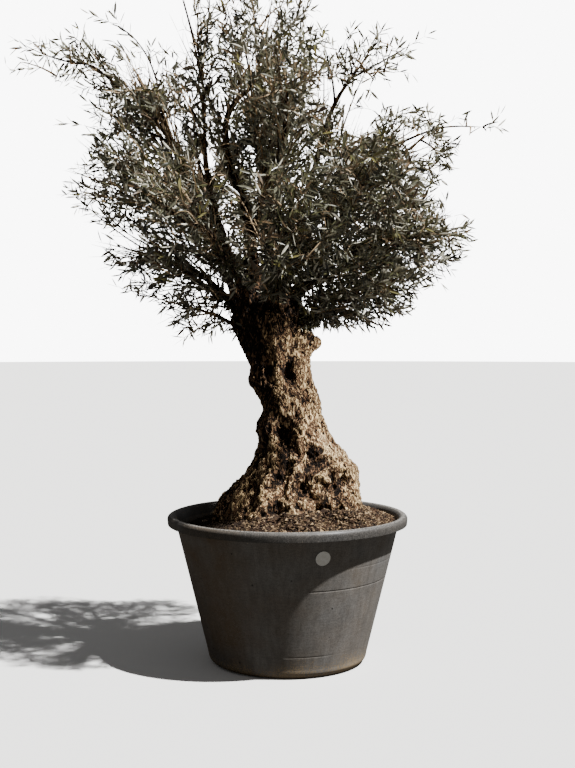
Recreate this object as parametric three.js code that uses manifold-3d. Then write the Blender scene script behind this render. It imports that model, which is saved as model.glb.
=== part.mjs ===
// An old, pollarded olive tree in a round nursery tub of black plastic.
// Millimetres, Z up. The origin is the centre of the tub's flat underside, and -Y is the side that is seen.
// The trunk is cut flat at the level of the soil. Each bough is one tapering limb, which starts a hair's
// breadth from a stub on what carries it, and ends where it enters a mass of foliage. The stem of that mass
// goes on from the bough's tip.

import * as THREE from "three";
import { mergeVertices } from "three/addons/utils/BufferGeometryUtils.js";
import Module from "manifold-3d";

const wasm = await Module();
wasm.setup();

// Driving dimensions
const GAP = 0.3; // between two pieces that touch
const SHORTEST_EDGE = 0.05;
const TUB_SIDES = 40;
const TUB_HEIGHT = 735;
const TUB_BASE_RADIUS = 358; // the flat underside, inside the rounded foot
const TUB_FOOT_RADIUS = 398;
const TUB_FOOT_HEIGHT = 42;
const TUB_TOP_RADIUS = 555; // the wall where it meets the rim
const TUB_WALL = 9;
const TUB_FLOOR = 12;
const RIM_RADIUS = 600;
const RIM_DEPTH = 48;
const RIM_ROUND = 20;
const SOIL_SEAT_RADIUS = 440; // flat soil that the trunk stands on
const SOIL_HEIGHT = 700;
const SOIL_EDGE_DROP = 24;
const TAG_RADIUS = 36;
const TAG_THICK = 2.5;
const TAG_HEIGHT = 612;
const TAG_TURN = 17.8; // degrees from the middle of the seen side, where one of the tub's flats lies

const TRUNK_SIDES = 44;
const TRUNK_RINGS = 22;
const TRUNK_RING_LEAN = 1.3; // above 1, the rings stand closer together at the knotted foot
const TRUNK_TOP = 1885;
const FLUTES = [
  { count: 5, depth: 0.03, rise: 170 },
  { count: 8, depth: 0.022, rise: -120 },
];
const LIMB_SIDES = 6;
const LIMB_SPAN = 140;
const COLLAR_SWELL = 0.55; // how much thicker a limb is where it leaves what carries it
const COLLAR_REACH = 70;
const COLLAR_FROM = 0.45; // share of a stub that lies inside what carries it
const STEM_THINNEST = 1.15; // a limb's radius goes on falling in its mass's stem, up to this share
const STEM_FIT = 0.96; // a stem's radius beside its limb's at the cut
const WOOD_SPACING = 15;

const TWIG_SIDES = 3;
const TWIG_SPANS = 2;
const TWIG_REACH = 0.66; // share of the way to the edge of the space; leaves go on from there
const TWIG_REACH_SPREAD = 0.15;
const TWIG_RISE = 0.12; // how far a twig's middle lies above its chord, and to a side of it
const TWIG_SWAY = 0.16;
const TWIG_SHORTEST = 40;
const TWIG_POINTS = 12; // points along a twig that later twigs may leave from
const TWIG_FIRST_POINT = 4;
const TARGET_DRAWN_IN = 0.94; // each time a twig's target is found outside its mass's space
const TARGET_NEAREST = 0.25;
const STEM_BARE = 0.3; // share of a mass's stem with no twigs
const TWIG_BASE_RADIUS = 6;
const TWIG_TIP_RADIUS = 3;
const LEAF_LENGTH = 230; // each leaf of the model stands for a spray of real ones
const LEAF_SLIM = 0.44; // a leaf's width as a share of its length
const LEAF_THICK = 7;
const LEAF_VARIES = [0.85, 1.15];
const LEAFY_SHARE = [0.2, 0.84]; // of a twig
const LAST_LEAF_LEAN = 0.45;
const LEAF_SPACING = 76;
const CLEAR_OF_LIMBS = 6;
const CLEAR_OF_SPACE = 5;
const CLEAR_OF_LEAVES = 0.125; // of a leaf's length
const LEAF_CUTS = [1, 0.84, 0.7, 0.58]; // a leaf that doesn't fit is tried shorter
const TAKEN_SPACING = 25;
const GOLDEN_TURN = Math.PI * (3 - Math.sqrt(5));

// The trunk's outline: height, then the centre and half width across X, and the half depth across Y.
const TRUNK_STATIONS = [
  [700, 20, 352, 335],
  [760, 20, 348, 325],
  [830, 32, 332, 300],
  [930, 64, 282, 262],
  [1030, 69, 218, 215],
  [1105, 36, 180, 182],
  [1180, 18, 163, 160],
  [1255, 17, 136, 143],
  [1330, 0, 147, 140],
  [1400, -36, 151, 142],
  [1480, -40, 141, 145],
  [1555, -58, 158, 152],
  [1655, -80, 184, 165],
  [1740, -90, 182, 162],
  [1815, -102, 150, 138],
  [1860, -108, 105, 100],
  [TRUNK_TOP, -112, 52, 50],
];

// Burls stand out and hollows go in. Angles are in degrees from +X towards +Y, so the seen side is -90.
const TRUNK_LUMPS = [
  { angle: -12, height: 1588, across: 85, along: 48, out: 62 },
  { angle: -67, height: 1455, across: 36, along: 62, out: -78 },
  { angle: -104, height: 1130, across: 40, along: 85, out: -80 },
  { angle: -112, height: 945, across: 44, along: 85, out: -88 },
  { angle: -97, height: 955, across: 28, along: 90, out: 40 },
  { angle: -126, height: 930, across: 30, along: 80, out: 38 },
  { angle: -149, height: 890, across: 36, along: 85, out: 34 },
  { angle: -137, height: 850, across: 28, along: 60, out: -46 },
  { angle: -114, height: 795, across: 32, along: 55, out: 36 },
  { angle: -103, height: 770, across: 28, along: 50, out: -62 },
  { angle: -91, height: 805, across: 36, along: 48, out: 38 },
  { angle: -84, height: 890, across: 36, along: 50, out: -62 },
  { angle: -72, height: 1025, across: 50, along: 42, out: -60 },
  { angle: -64, height: 900, across: 28, along: 95, out: 40 },
  { angle: -54, height: 895, across: 45, along: 45, out: -52 },
  { angle: -64, height: 765, across: 42, along: 48, out: -70 },
  { angle: -76, height: 770, across: 28, along: 60, out: 36 },
  { angle: -44, height: 800, across: 32, along: 70, out: 36 },
  { angle: -30, height: 900, across: 38, along: 42, out: -52 },
  { angle: -36, height: 985, across: 36, along: 44, out: 34 },
  { angle: -125, height: 790, across: 34, along: 44, out: -44 },
  { angle: -105, height: 1290, across: 26, along: 75, out: 26 },
  { angle: -140, height: 1400, across: 48, along: 60, out: 22 },
  { angle: -120, height: 1560, across: 40, along: 90, out: -34 },
  { angle: -84, height: 1640, across: 34, along: 80, out: 24 },
  { angle: -50, height: 1330, across: 30, along: 90, out: -30 },
  { angle: -30, height: 1250, across: 60, along: 90, out: 14 },
  { angle: 100, height: 1300, across: 70, along: 60, out: 38 },
  { angle: 75, height: 905, across: 60, along: 80, out: -62 },
  { angle: 140, height: 1010, across: 55, along: 70, out: -40 },
  { angle: 40, height: 1500, across: 60, along: 70, out: 30 },
  { angle: 120, height: 1620, across: 70, along: 60, out: 32 },
  { angle: 30, height: 950, across: 50, along: 80, out: 36 },
  { angle: 110, height: 860, across: 45, along: 60, out: -55 },
  { angle: 165, height: 880, across: 50, along: 70, out: -44 },
  { angle: 70, height: 1180, across: 45, along: 90, out: -36 },
];

// Roots flare out at the foot, each by its own angle, spread and reach.
const ROOTS = [
  { angle: -168, spread: 14, reach: 28 },
  { angle: -140, spread: 10, reach: 40 },
  { angle: -112, spread: 9, reach: 55 },
  { angle: -84, spread: 8, reach: 60 },
  { angle: -45, spread: 10, reach: 42 },
  { angle: -15, spread: 11, reach: 22 },
  { angle: 25, spread: 12, reach: 45 },
  { angle: 60, spread: 10, reach: 60 },
  { angle: 98, spread: 12, reach: 65 },
  { angle: 130, spread: 10, reach: 50 },
];
const ROOT_TOP = 960;

// Limbs: what carries each, how long the stub is that it leaves there, its radii and the points it passes.
const LIMBS = [
  {
    name: "left_bough", on: "trunk", stub: 150, radii: [40, 15],
    through: [[-195, -5, 1730], [-262, -18, 1880], [-300, -28, 1990], [-375, -38, 2125], [-545, -42, 2215]],
  },
  {
    name: "centre_leader", on: "trunk", stub: 215, radii: [44, 12],
    through: [[-120, 15, 1750], [-178, 15, 1960], [-190, 12, 2150], [-235, 30, 2330], [-292, 40, 2500],
      [-308, 36, 2680], [-255, 22, 2795], [-180, 10, 2865]],
  },
  {
    name: "centre_fork", on: "centre_leader", stub: 95, radii: [24, 12],
    through: [[-189, 12, 2120], [-140, -25, 2240], [-105, -50, 2370]],
  },
  {
    name: "tall_bough", on: "left_bough", stub: 105, radii: [23, 7],
    through: [[-312, -28, 2010], [-352, 20, 2200], [-405, 30, 2460], [-414, 38, 2680], [-420, 40, 2830]],
  },
  {
    name: "upper_left_bough", on: "left_bough", stub: 75, radii: [21, 9],
    through: [[-395, -38, 2140], [-455, -8, 2300], [-535, 5, 2500], [-600, 5, 2640]],
  },
  {
    name: "arching_shoot", on: "upper_left_bough", stub: 68, radii: [10, 5],
    through: [[-478, -3, 2360], [-585, 62, 2500], [-730, 60, 2700], [-850, 20, 2860], [-960, -15, 2955]],
  },
  {
    name: "lower_left_bough", on: "trunk", stub: 160, radii: [25, 12],
    through: [[-180, 25, 1690], [-300, 45, 1810], [-400, 40, 1905], [-500, 25, 1970]],
  },
  {
    name: "right_bough", on: "trunk", stub: 195, radii: [35, 14],
    through: [[-50, -20, 1720], [60, -28, 1850], [180, -30, 1960], [340, -28, 2050]],
  },
  {
    name: "low_right_bough", on: "trunk", stub: 170, radii: [26, 13],
    through: [[-30, -40, 1625], [90, -75, 1705], [190, -80, 1790]],
  },
  {
    name: "right_leader", on: "trunk", stub: 190, radii: [37, 12],
    through: [[-80, 45, 1750], [10, 62, 1950], [90, 75, 2130], [200, 70, 2290], [370, 40, 2440]],
  },
  {
    name: "upper_right_bough", on: "right_leader", stub: 110, radii: [21, 9],
    through: [[78, 72, 2100], [92, 120, 2280], [150, 90, 2520], [215, 60, 2740], [290, 25, 2870]],
  },
  {
    name: "inner_right_bough", on: "right_bough", stub: 88, radii: [18, 10],
    through: [[110, -30, 1902], [165, -50, 2060], [200, -50, 2220]],
  },
  {
    name: "long_right_shoot", on: "right_leader", stub: 60, radii: [10, 4.5],
    through: [[225, 68, 2312], [330, 120, 2430], [500, 110, 2560], [680, 60, 2640], [800, 20, 2665]],
  },
  {
    name: "front_bough", on: "trunk", stub: 165, radii: [30, 14],
    through: [[-90, -60, 1700], [-65, -185, 1840], [-30, -300, 1970]],
  },
  {
    name: "front_left_bough", on: "trunk", stub: 170, radii: [26, 11],
    through: [[-150, -55, 1715], [-235, -150, 1880], [-320, -260, 2030]],
  },
  {
    name: "front_right_bough", on: "front_bough", stub: 78, radii: [20, 10],
    through: [[-55, -215, 1873], [75, -280, 2000], [220, -350, 2150]],
  },
  {
    name: "front_top_bough", on: "front_bough", stub: 80, radii: [17, 9],
    through: [[-52, -235, 1893], [-95, -215, 2100], [-60, -255, 2330], [-20, -300, 2530]],
  },
  {
    name: "back_bough", on: "trunk", stub: 165, radii: [30, 14],
    through: [[-100, 75, 1700], [-95, 200, 1840], [-75, 320, 1980]],
  },
  {
    name: "back_left_bough", on: "trunk", stub: 175, radii: [28, 11],
    through: [[-150, 60, 1725], [-230, 150, 1900], [-310, 260, 2080], [-360, 330, 2230]],
  },
  {
    name: "back_right_bough", on: "back_bough", stub: 80, radii: [20, 10],
    through: [[-90, 228, 1872], [60, 275, 1990], [210, 345, 2130]],
  },
  {
    name: "back_top_bough", on: "back_bough", stub: 80, radii: [18, 9],
    through: [[-88, 245, 1890], [-105, 235, 2100], [-70, 270, 2340], [-30, 320, 2560]],
  },
];

// Masses of foliage: the middle and half sizes of each one's space, what carries it, how many twigs it has,
// and how long its leaves are beside those of the rest. One grows straight from a stub on the trunk.
const MASSES = [
  { name: "top", middle: [-112, 0, 3070], half: [292, 270, 300], on: "centre_leader", twigs: 9 },
  { name: "tall", middle: [-432, 40, 3065], half: [125, 115, 295], on: "tall_bough", twigs: 5, leaf: 0.65 },
  { name: "upper_left", middle: [-665, 5, 2768], half: [285, 255, 222], on: "upper_left_bough", twigs: 7 },
  { name: "arching", middle: [-1100, -30, 2965], half: [285, 105, 145], on: "arching_shoot", twigs: 5,
    leaf: 0.55 },
  { name: "left", middle: [-755, -30, 2370], half: [300, 265, 212], on: "left_bough", twigs: 7 },
  { name: "lower_left", middle: [-625, 20, 2000], half: [250, 225, 188], on: "lower_left_bough", twigs: 7 },
  { name: "hanging", middle: [-430, -60, 1760], half: [150, 140, 135], on: "trunk", twigs: 6, leaf: 0.62,
    stub: 135, radii: [16, 8], through: [[-180, -30, 1640], [-300, -55, 1700]] },
  { name: "centre", middle: [-140, -80, 2590], half: [300, 240, 262], on: "centre_fork", twigs: 7 },
  { name: "upper_right", middle: [375, 0, 2975], half: [258, 195, 160], on: "upper_right_bough", twigs: 7 },
  { name: "right_top", middle: [612, 0, 2550], half: [230, 230, 200], on: "right_leader", twigs: 7 },
  { name: "long_right", middle: [970, -5, 2660], half: [180, 75, 85], on: "long_right_shoot", twigs: 4,
    leaf: 0.42 },
  { name: "right", middle: [600, -20, 2125], half: [282, 265, 232], on: "right_bough", twigs: 8 },
  { name: "low_right", middle: [340, -70, 1875], half: [272, 240, 205], on: "low_right_bough", twigs: 8 },
  { name: "inner_right", middle: [235, -40, 2470], half: [240, 225, 255], on: "inner_right_bough",
    twigs: 6 },
  { name: "front", middle: [0, -510, 2150], half: [295, 275, 265], on: "front_bough", twigs: 8 },
  { name: "front_left", middle: [-430, -430, 2240], half: [265, 260, 265], on: "front_left_bough",
    twigs: 7 },
  { name: "front_right", middle: [395, -430, 2330], half: [262, 260, 262], on: "front_right_bough",
    twigs: 7 },
  { name: "front_top", middle: [0, -400, 2790], half: [275, 255, 240], on: "front_top_bough", twigs: 6 },
  { name: "back", middle: [-60, 510, 2150], half: [295, 275, 275], on: "back_bough", twigs: 7 },
  { name: "back_left", middle: [-430, 450, 2420], half: [282, 270, 275], on: "back_left_bough", twigs: 6 },
  { name: "back_right", middle: [375, 450, 2320], half: [282, 270, 275], on: "back_right_bough", twigs: 6 },
  { name: "back_top", middle: [0, 420, 2820], half: [280, 260, 242], on: "back_top_bough", twigs: 6 },
];

const point = (p) => new THREE.Vector3(...p);
const radians = THREE.MathUtils.degToRad;

// Random numbers from 0 to 1 that are the same in every run.
function seeded(seed) {
  let state = Math.imul(seed + 17, 2654435761) >>> 0;
  const draw = () => {
    state = (Math.imul(state, 1664525) + 1013904223) >>> 0;
    return state / 4294967296;
  };
  draw();
  draw();
  return draw;
}

// A geometry as a solid.
function solidOf(geometry) {
  const bare = geometry.clone();
  bare.deleteAttribute("normal");
  bare.deleteAttribute("uv");
  const merged = mergeVertices(bare, 1e-4);
  return new wasm.Manifold(
    new wasm.Mesh({
      numProp: 3,
      vertProperties: merged.attributes.position.array,
      triVerts: new Uint32Array(merged.index.array),
    }),
  );
}

// A solid as a geometry. Only its largest body is kept, and a hollow that is sealed inside it is filled.
function geometryOf(solid) {
  const bodies = solid.simplify(SHORTEST_EDGE).decompose().sort((a, b) => b.volume() - a.volume());
  const mesh = bodies[0].getMesh();
  const geometry = new THREE.BufferGeometry();
  geometry.setAttribute("position", new THREE.BufferAttribute(new Float32Array(mesh.vertProperties), 3));
  geometry.setIndex(new THREE.BufferAttribute(new Uint32Array(mesh.triVerts), 1));
  geometry.computeVertexNormals();
  return geometry;
}

// A value of the trunk's outline at a height, on a smooth curve through the stations.
function stationValue(height, column) {
  const rows = TRUNK_STATIONS;
  const last = rows.length - 1;
  const z = THREE.MathUtils.clamp(height, rows[0][0], rows[last][0]);
  let i = 0;
  while (i < last - 1 && z > rows[i + 1][0]) i += 1;
  const slope = (k) => {
    const low = Math.max(k - 1, 0);
    const high = Math.min(k + 1, last);
    return (rows[high][column] - rows[low][column]) / (rows[high][0] - rows[low][0]);
  };
  const span = rows[i + 1][0] - rows[i][0];
  const t = (z - rows[i][0]) / span;
  const rise = t * t * (3 - 2 * t);
  return (
    rows[i][column] * (1 - rise) +
    rows[i + 1][column] * rise +
    span * slope(i) * t * (1 - t) * (1 - t) -
    span * slope(i + 1) * t * t * (1 - t)
  );
}

// The smallest turn from one angle to another, in radians.
function turnBetween(from, to) {
  return Math.atan2(Math.sin(to - from), Math.cos(to - from));
}

// The trunk's radius about its centre line, with its flutes, roots, burls and hollows.
function trunkRadius(angle, height) {
  const halfWidth = stationValue(height, 2);
  const halfDepth = stationValue(height, 3);
  const plain = 1 / Math.hypot(Math.cos(angle) / halfWidth, Math.sin(angle) / halfDepth);
  let radius = plain;
  for (const { count, depth, rise } of FLUTES) {
    radius += plain * depth * Math.sin(count * angle + height / rise);
  }
  const foot = Math.max(0, (ROOT_TOP - height) / (ROOT_TOP - SOIL_HEIGHT));
  for (const root of ROOTS) {
    const away = turnBetween(radians(root.angle), angle) / radians(root.spread);
    radius += root.reach * Math.exp(-away * away) * foot ** 1.5;
  }
  for (const lump of TRUNK_LUMPS) {
    const across = (turnBetween(radians(lump.angle), angle) * plain) / lump.across;
    const along = (height - lump.height) / lump.along;
    radius += lump.out * Math.exp(-across * across - along * along);
  }
  return radius;
}

// The trunk from its flat cut at the soil to its head, without the stubs.
function trunkBody() {
  const foot = SOIL_HEIGHT + GAP;
  const geometry = new THREE.CylinderGeometry(1, 1, 1, TRUNK_SIDES, TRUNK_RINGS);
  const position = geometry.attributes.position;
  for (let i = 0; i < position.count; i += 1) {
    const x = position.getX(i);
    const y = -position.getZ(i);
    const height = foot + (position.getY(i) + 0.5) ** TRUNK_RING_LEAN * (TRUNK_TOP - foot);
    const angle = Math.atan2(y, x);
    const radius = Math.hypot(x, y) < 0.5 ? 0 : trunkRadius(angle, height);
    position.setXYZ(
      i,
      stationValue(height, 1) + radius * Math.cos(angle),
      radius * Math.sin(angle),
      height,
    );
  }
  return solidOf(geometry);
}

// Where a path is at a share of its length, which way it runs there, and two directions across it.
function framesAlong(path, start, end) {
  const chord = path.getPointAt(end).sub(path.getPointAt(start));
  const sizes = chord.toArray().map(Math.abs);
  const reference = new THREE.Vector3().setComponent(sizes.indexOf(Math.min(...sizes)), 1);
  return (share) => {
    const along = path.getTangentAt(share);
    const side = reference.clone().cross(along).normalize();
    return { at: path.getPointAt(share), along, side, across: side.clone().cross(along) };
  };
}

// A bar from start to end of a path, as shares of its length. It ends flat, or in a point.
function taperedBar({ path, start, end, radiusAt, sides, spans, pointed = false }) {
  const geometry = new THREE.CylinderGeometry(pointed ? 0 : 1, 1, 1, sides, spans);
  const frameAt = framesAlong(path, start, end);
  const position = geometry.attributes.position;
  for (let i = 0; i < position.count; i += 1) {
    const share = start + (position.getY(i) + 0.5) * (end - start);
    const { at, side, across } = frameAt(share);
    const radius = radiusAt(share) / (Math.hypot(position.getX(i), position.getZ(i)) || 1);
    at.addScaledVector(side, position.getX(i) * radius).addScaledVector(across, position.getZ(i) * radius);
    position.setXYZ(i, at.x, at.y, at.z);
  }
  return solidOf(geometry);
}

// A mass's own space is its ellipsoid, cut by a plane between it and each neighbour. It is convex.
function inSpace(mass, p, margin) {
  const out = p.clone().sub(mass.centre);
  const shortest = Math.min(...mass.half);
  if (out.clone().divide(mass.size).length() > 1 - margin / shortest) return false;
  return mass.walls.every((wall) => out.dot(wall.normal) < wall.distance - margin);
}

// How far a mass's ellipsoid reaches along a direction.
function reachOf(mass, direction) {
  return direction.clone().multiply(mass.size).length();
}

// Each mass gets its middle and half sizes as vectors, and its walls.
function prepareMasses() {
  for (const mass of MASSES) {
    mass.centre = point(mass.middle);
    mass.size = point(mass.half);
  }
  for (const mass of MASSES) {
    mass.walls = [];
    for (const other of MASSES) {
      const normal = other.centre.clone().sub(mass.centre);
      const distance = normal.length();
      normal.normalize();
      const own = reachOf(mass, normal);
      const theirs = reachOf(other, normal);
      if (other !== mass && own + theirs > distance) {
        mass.walls.push({ normal, distance: (distance * own) / (own + theirs) });
      }
    }
  }
}

// The share of a path at which it enters the space of the mass at its end.
function entryShare(mass, path) {
  const steps = 400;
  for (let i = steps; i > 0; i -= 1) {
    if (!inSpace(mass, path.getPointAt(i / steps), 2 * CLEAR_OF_SPACE)) return (i + 1) / steps;
  }
  throw new Error(mass.name + " holds the whole of its limb");
}

// The path of each limb runs on to the middle of its mass, where the mass's stem takes over from it.
function prepareLimbs() {
  for (const mass of MASSES) {
    const limb = LIMBS.find((l) => l.name === mass.on);
    const carrier = limb || mass;
    carrier.path = new THREE.CatmullRomCurve3(
      [...carrier.through.map(point), mass.centre], false, "catmullrom", 0.5);
    carrier.long = carrier.path.getLength();
    carrier.stubShare = carrier.stub / carrier.long;
    carrier.tipShare = limb ? entryShare(mass, carrier.path) : carrier.stubShare;
    carrier.radiusAt = (share) => {
      const thin = THREE.MathUtils.lerp(...carrier.radii, Math.min(share / carrier.tipShare, STEM_THINNEST));
      const past = Math.max(0, share - carrier.stubShare * COLLAR_FROM) * carrier.long;
      return thin * (1 + COLLAR_SWELL * Math.exp(-past / COLLAR_REACH));
    };
    mass.carrier = carrier;
  }
}

// The stub that a carrier leaves on what carries it, up to its cut.
function stubOf(carrier) {
  const { path, radiusAt, stubShare } = carrier;
  return taperedBar({ path, start: 0, end: stubShare, radiusAt, sides: LIMB_SIDES, spans: 1 });
}

// A limb from just past its stub to where it enters its mass.
function limbSolid(limb) {
  const { path, radiusAt, tipShare } = limb;
  const start = limb.stubShare + GAP / limb.long;
  const spans = Math.max(2, Math.round(((tipShare - start) * limb.long) / LIMB_SPAN));
  return taperedBar({ path, start, end: tipShare, radiusAt, sides: LIMB_SIDES, spans });
}

// Points along all limbs with the radius there, for keeping leaves and twigs clear of wood.
function woodPoints() {
  const points = [];
  for (const carrier of new Set(MASSES.map((m) => m.carrier))) {
    const count = Math.ceil((carrier.tipShare * carrier.long) / WOOD_SPACING);
    for (let i = 0; i <= count; i += 1) {
      const share = (carrier.tipShare * i) / count;
      points.push({ at: carrier.path.getPointAt(share), radius: carrier.radiusAt(share) });
    }
  }
  return points;
}

// Whether something of a half width at a point is clear of the trunk and the limbs.
function clearOfWood(wood, p, halfWidth) {
  if (p.z < TRUNK_TOP + CLEAR_OF_LIMBS) {
    const x = p.x - stationValue(p.z, 1);
    const near = trunkRadius(Math.atan2(p.y, x), p.z) + halfWidth + CLEAR_OF_LIMBS;
    if (Math.hypot(x, p.y) < near) return false;
  }
  return wood.every((w) => w.at.distanceTo(p) > w.radius + halfWidth + CLEAR_OF_LIMBS);
}

// Directions spread evenly over a ball, turned by a seeded angle.
function evenDirection(index, count, turn) {
  const up = 1 - (2 * (index + 0.5)) / count;
  const level = Math.sqrt(1 - up * up);
  const around = GOLDEN_TURN * index + turn;
  return new THREE.Vector3(level * Math.cos(around), level * Math.sin(around), up);
}

// Points from one end of a piece of path to the other.
function sampled(path, from, to, count) {
  return Array.from({ length: count + 1 }, (_, i) => path.getPointAt(from + ((to - from) * i) / count));
}

// The point at a share of the way from the middle of a mass to its ellipsoid, drawn in until it is in the
// mass's space.
function targetIn(mass, direction, share) {
  let reach = share;
  const target = new THREE.Vector3();
  do {
    target.copy(direction).multiply(mass.size).multiplyScalar(reach).add(mass.centre);
    reach *= TARGET_DRAWN_IN;
  } while (reach > TARGET_NEAREST && !inSpace(mass, target, 3 * CLEAR_OF_SPACE));
  return target;
}

// A leaf: a thin lance of eight faces. Its root lies on its twig's axis.
function leafSolid({ root, along, side, length }) {
  const basis = new THREE.Matrix4().makeBasis(
    along.clone().multiplyScalar(length / 2),
    side.clone().multiplyScalar((length * LEAF_SLIM) / 2),
    along.clone().cross(side).multiplyScalar(LEAF_THICK / 2),
  );
  basis.setPosition(root.clone().addScaledVector(along, length / 2));
  return solidOf(new THREE.OctahedronGeometry(1, 0).applyMatrix4(basis));
}

// Points spread over a leaf: four along its rib and four on its edges.
function leafPoints({ root, along, side, length }) {
  const spots = [[0.32, 0], [0.5, 0], [0.76, 0], [1, 0], [0.5, 1], [0.5, -1], [0.75, 0.5], [0.75, -0.5]];
  return spots.map(([out, across]) =>
    root
      .clone()
      .addScaledVector(along, length * out)
      .addScaledVector(side, ((length * LEAF_SLIM) / 2) * across),
  );
}

// The leaves that could grow at a place on a twig, longest first, each out of the middle of a face.
function leafTries(frame, index, isLast, spin, longest) {
  const tries = [];
  for (const cut of LEAF_CUTS) {
    for (let face = 0; face < TWIG_SIDES; face += 1) {
      const turn = ((2 * (index + face) + 1) * Math.PI) / TWIG_SIDES;
      const away = frame.side.clone().multiplyScalar(Math.sin(turn));
      away.addScaledVector(frame.across, Math.cos(turn));
      const along = frame.along.clone().addScaledVector(away, isLast ? LAST_LEAF_LEAN : 1).normalize();
      const side = frame.along.clone().cross(along).normalize().applyAxisAngle(along, spin);
      tries.push({ root: frame.at, along, side, length: longest * cut });
    }
  }
  return tries;
}

// Whether a leaf stays in its mass's space, clear of limbs, of twigs and of the leaves already there.
function leafFits(mass, wood, taken, leaf) {
  const clear = CLEAR_OF_LEAVES * leaf.length;
  return leafPoints(leaf).every(
    (p) =>
      inSpace(mass, p, CLEAR_OF_SPACE) &&
      clearOfWood(wood, p, clear) &&
      taken.every((q) => q.distanceTo(p) > clear),
  );
}

// The twigs of a mass: each grows from the nearest wood already there to its own target.
function twigPaths(mass, draw, wood) {
  const { path, tipShare } = mass.carrier;
  const nodes = sampled(path, tipShare + (1 - tipShare) * STEM_BARE, 1, 5);
  const turn = draw() * 2 * Math.PI;
  const entry = path.getPointAt(tipShare);
  const targets = Array.from({ length: mass.twigs }, (_, i) =>
    targetIn(mass, evenDirection(i, mass.twigs, turn), TWIG_REACH + TWIG_REACH_SPREAD * draw()),
  ).sort((a, b) => a.distanceTo(entry) - b.distanceTo(entry));
  const twigs = [];
  for (const target of targets) {
    const from = nodes.reduce((a, b) => (b.distanceTo(target) < a.distanceTo(target) ? b : a));
    const length = from.distanceTo(target);
    const middle = from.clone().lerp(target, 0.5);
    middle.z += length * TWIG_RISE;
    middle.x += length * TWIG_SWAY * (draw() - 0.5);
    const twig = new THREE.QuadraticBezierCurve3(from.clone(), middle, target);
    const trail = sampled(twig, 0, 1, TWIG_POINTS);
    const touches = trail.slice(TWIG_FIRST_POINT - 1).some((p) => !clearOfWood(wood, p, TWIG_BASE_RADIUS));
    if (length < TWIG_SHORTEST || touches) continue;
    twigs.push(twig);
    nodes.push(...trail.slice(TWIG_FIRST_POINT));
  }
  return twigs;
}

// The solids of a mass: its stem, which goes on from its limb's tip, its twigs and the leaves along them.
function massSolids(mass, seed, wood) {
  const draw = seeded(seed);
  const { path, tipShare, long, radiusAt } = mass.carrier;
  const stemRadius = (share) => STEM_FIT * radiusAt(share);
  const stem = { path, start: tipShare + GAP / long, end: 1, radiusAt: stemRadius, sides: 4, spans: 2 };
  const solids = [taperedBar(stem)];
  const twigs = twigPaths(mass, draw, wood);
  const taken = sampled(path, tipShare, 1, 10);
  const twigRadius = (share) => THREE.MathUtils.lerp(TWIG_BASE_RADIUS, TWIG_TIP_RADIUS, share);
  const shape = { start: 0, end: 1, radiusAt: twigRadius, sides: TWIG_SIDES, spans: TWIG_SPANS };
  for (const twig of twigs) {
    solids.push(taperedBar({ path: twig, pointed: true, ...shape }));
    taken.push(...sampled(twig, 0, 1, Math.ceil(twig.getLength() / TAKEN_SPACING)));
  }
  for (const twig of twigs) {
    const frameAt = framesAlong(twig, 0, 1);
    const count = Math.max(2, Math.round(twig.getLength() / LEAF_SPACING));
    for (let i = 0; i <= count; i += 1) {
      const frame = frameAt(THREE.MathUtils.lerp(...LEAFY_SHARE, i / count));
      const spin = draw() * Math.PI;
      const length = LEAF_LENGTH * (mass.leaf || 1) * THREE.MathUtils.lerp(...LEAF_VARIES, draw());
      const tries = leafTries(frame, i, i === count, spin, length);
      const leaf = tries.find((l) => leafFits(mass, wood, taken, l));
      if (!leaf) continue;
      taken.push(...leafPoints(leaf));
      solids.push(leafSolid(leaf));
    }
  }
  return solids;
}

// The tub's section, closed from the axis down the outside of the underside to the inside of the floor.
function tubProfile() {
  const corner = [0, 0.33, 0.66, 1].map((t) => {
    const turn = (t * Math.PI) / 2;
    return new THREE.Vector2(
      TUB_BASE_RADIUS + (TUB_FOOT_RADIUS - TUB_BASE_RADIUS) * Math.sin(turn),
      TUB_FOOT_HEIGHT * (1 - Math.cos(turn)),
    );
  });
  const rimTop = [0, 0.5, 1].map((t) => {
    const turn = (t * Math.PI) / 2;
    return new THREE.Vector2(
      RIM_RADIUS - RIM_ROUND + RIM_ROUND * Math.cos(turn),
      TUB_HEIGHT - RIM_ROUND + RIM_ROUND * Math.sin(turn),
    );
  });
  return [
    new THREE.Vector2(0, 0),
    ...corner,
    new THREE.Vector2(TUB_TOP_RADIUS, TUB_HEIGHT - RIM_DEPTH),
    new THREE.Vector2(RIM_RADIUS - 4, TUB_HEIGHT - RIM_DEPTH),
    ...rimTop,
    new THREE.Vector2(TUB_TOP_RADIUS + 6, TUB_HEIGHT - 6),
    new THREE.Vector2(TUB_TOP_RADIUS - TUB_WALL, TUB_HEIGHT - RIM_DEPTH),
    new THREE.Vector2(TUB_FOOT_RADIUS - TUB_WALL, TUB_FOOT_HEIGHT),
    new THREE.Vector2(TUB_BASE_RADIUS, TUB_FLOOR),
    new THREE.Vector2(0, TUB_FLOOR),
  ];
}

// The radius of the tub's inside wall at a height.
function tubInside(height) {
  const share = (height - TUB_FOOT_HEIGHT) / (TUB_HEIGHT - RIM_DEPTH - TUB_FOOT_HEIGHT);
  return THREE.MathUtils.lerp(TUB_FOOT_RADIUS, TUB_TOP_RADIUS, share) - TUB_WALL;
}

// A profile turned about the upright axis, with one of its flats behind the tag.
function turned(profile) {
  const phase = radians(TAG_TURN) - Math.PI / TUB_SIDES;
  return new THREE.LatheGeometry(profile, TUB_SIDES, phase).rotateX(Math.PI / 2);
}

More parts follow.
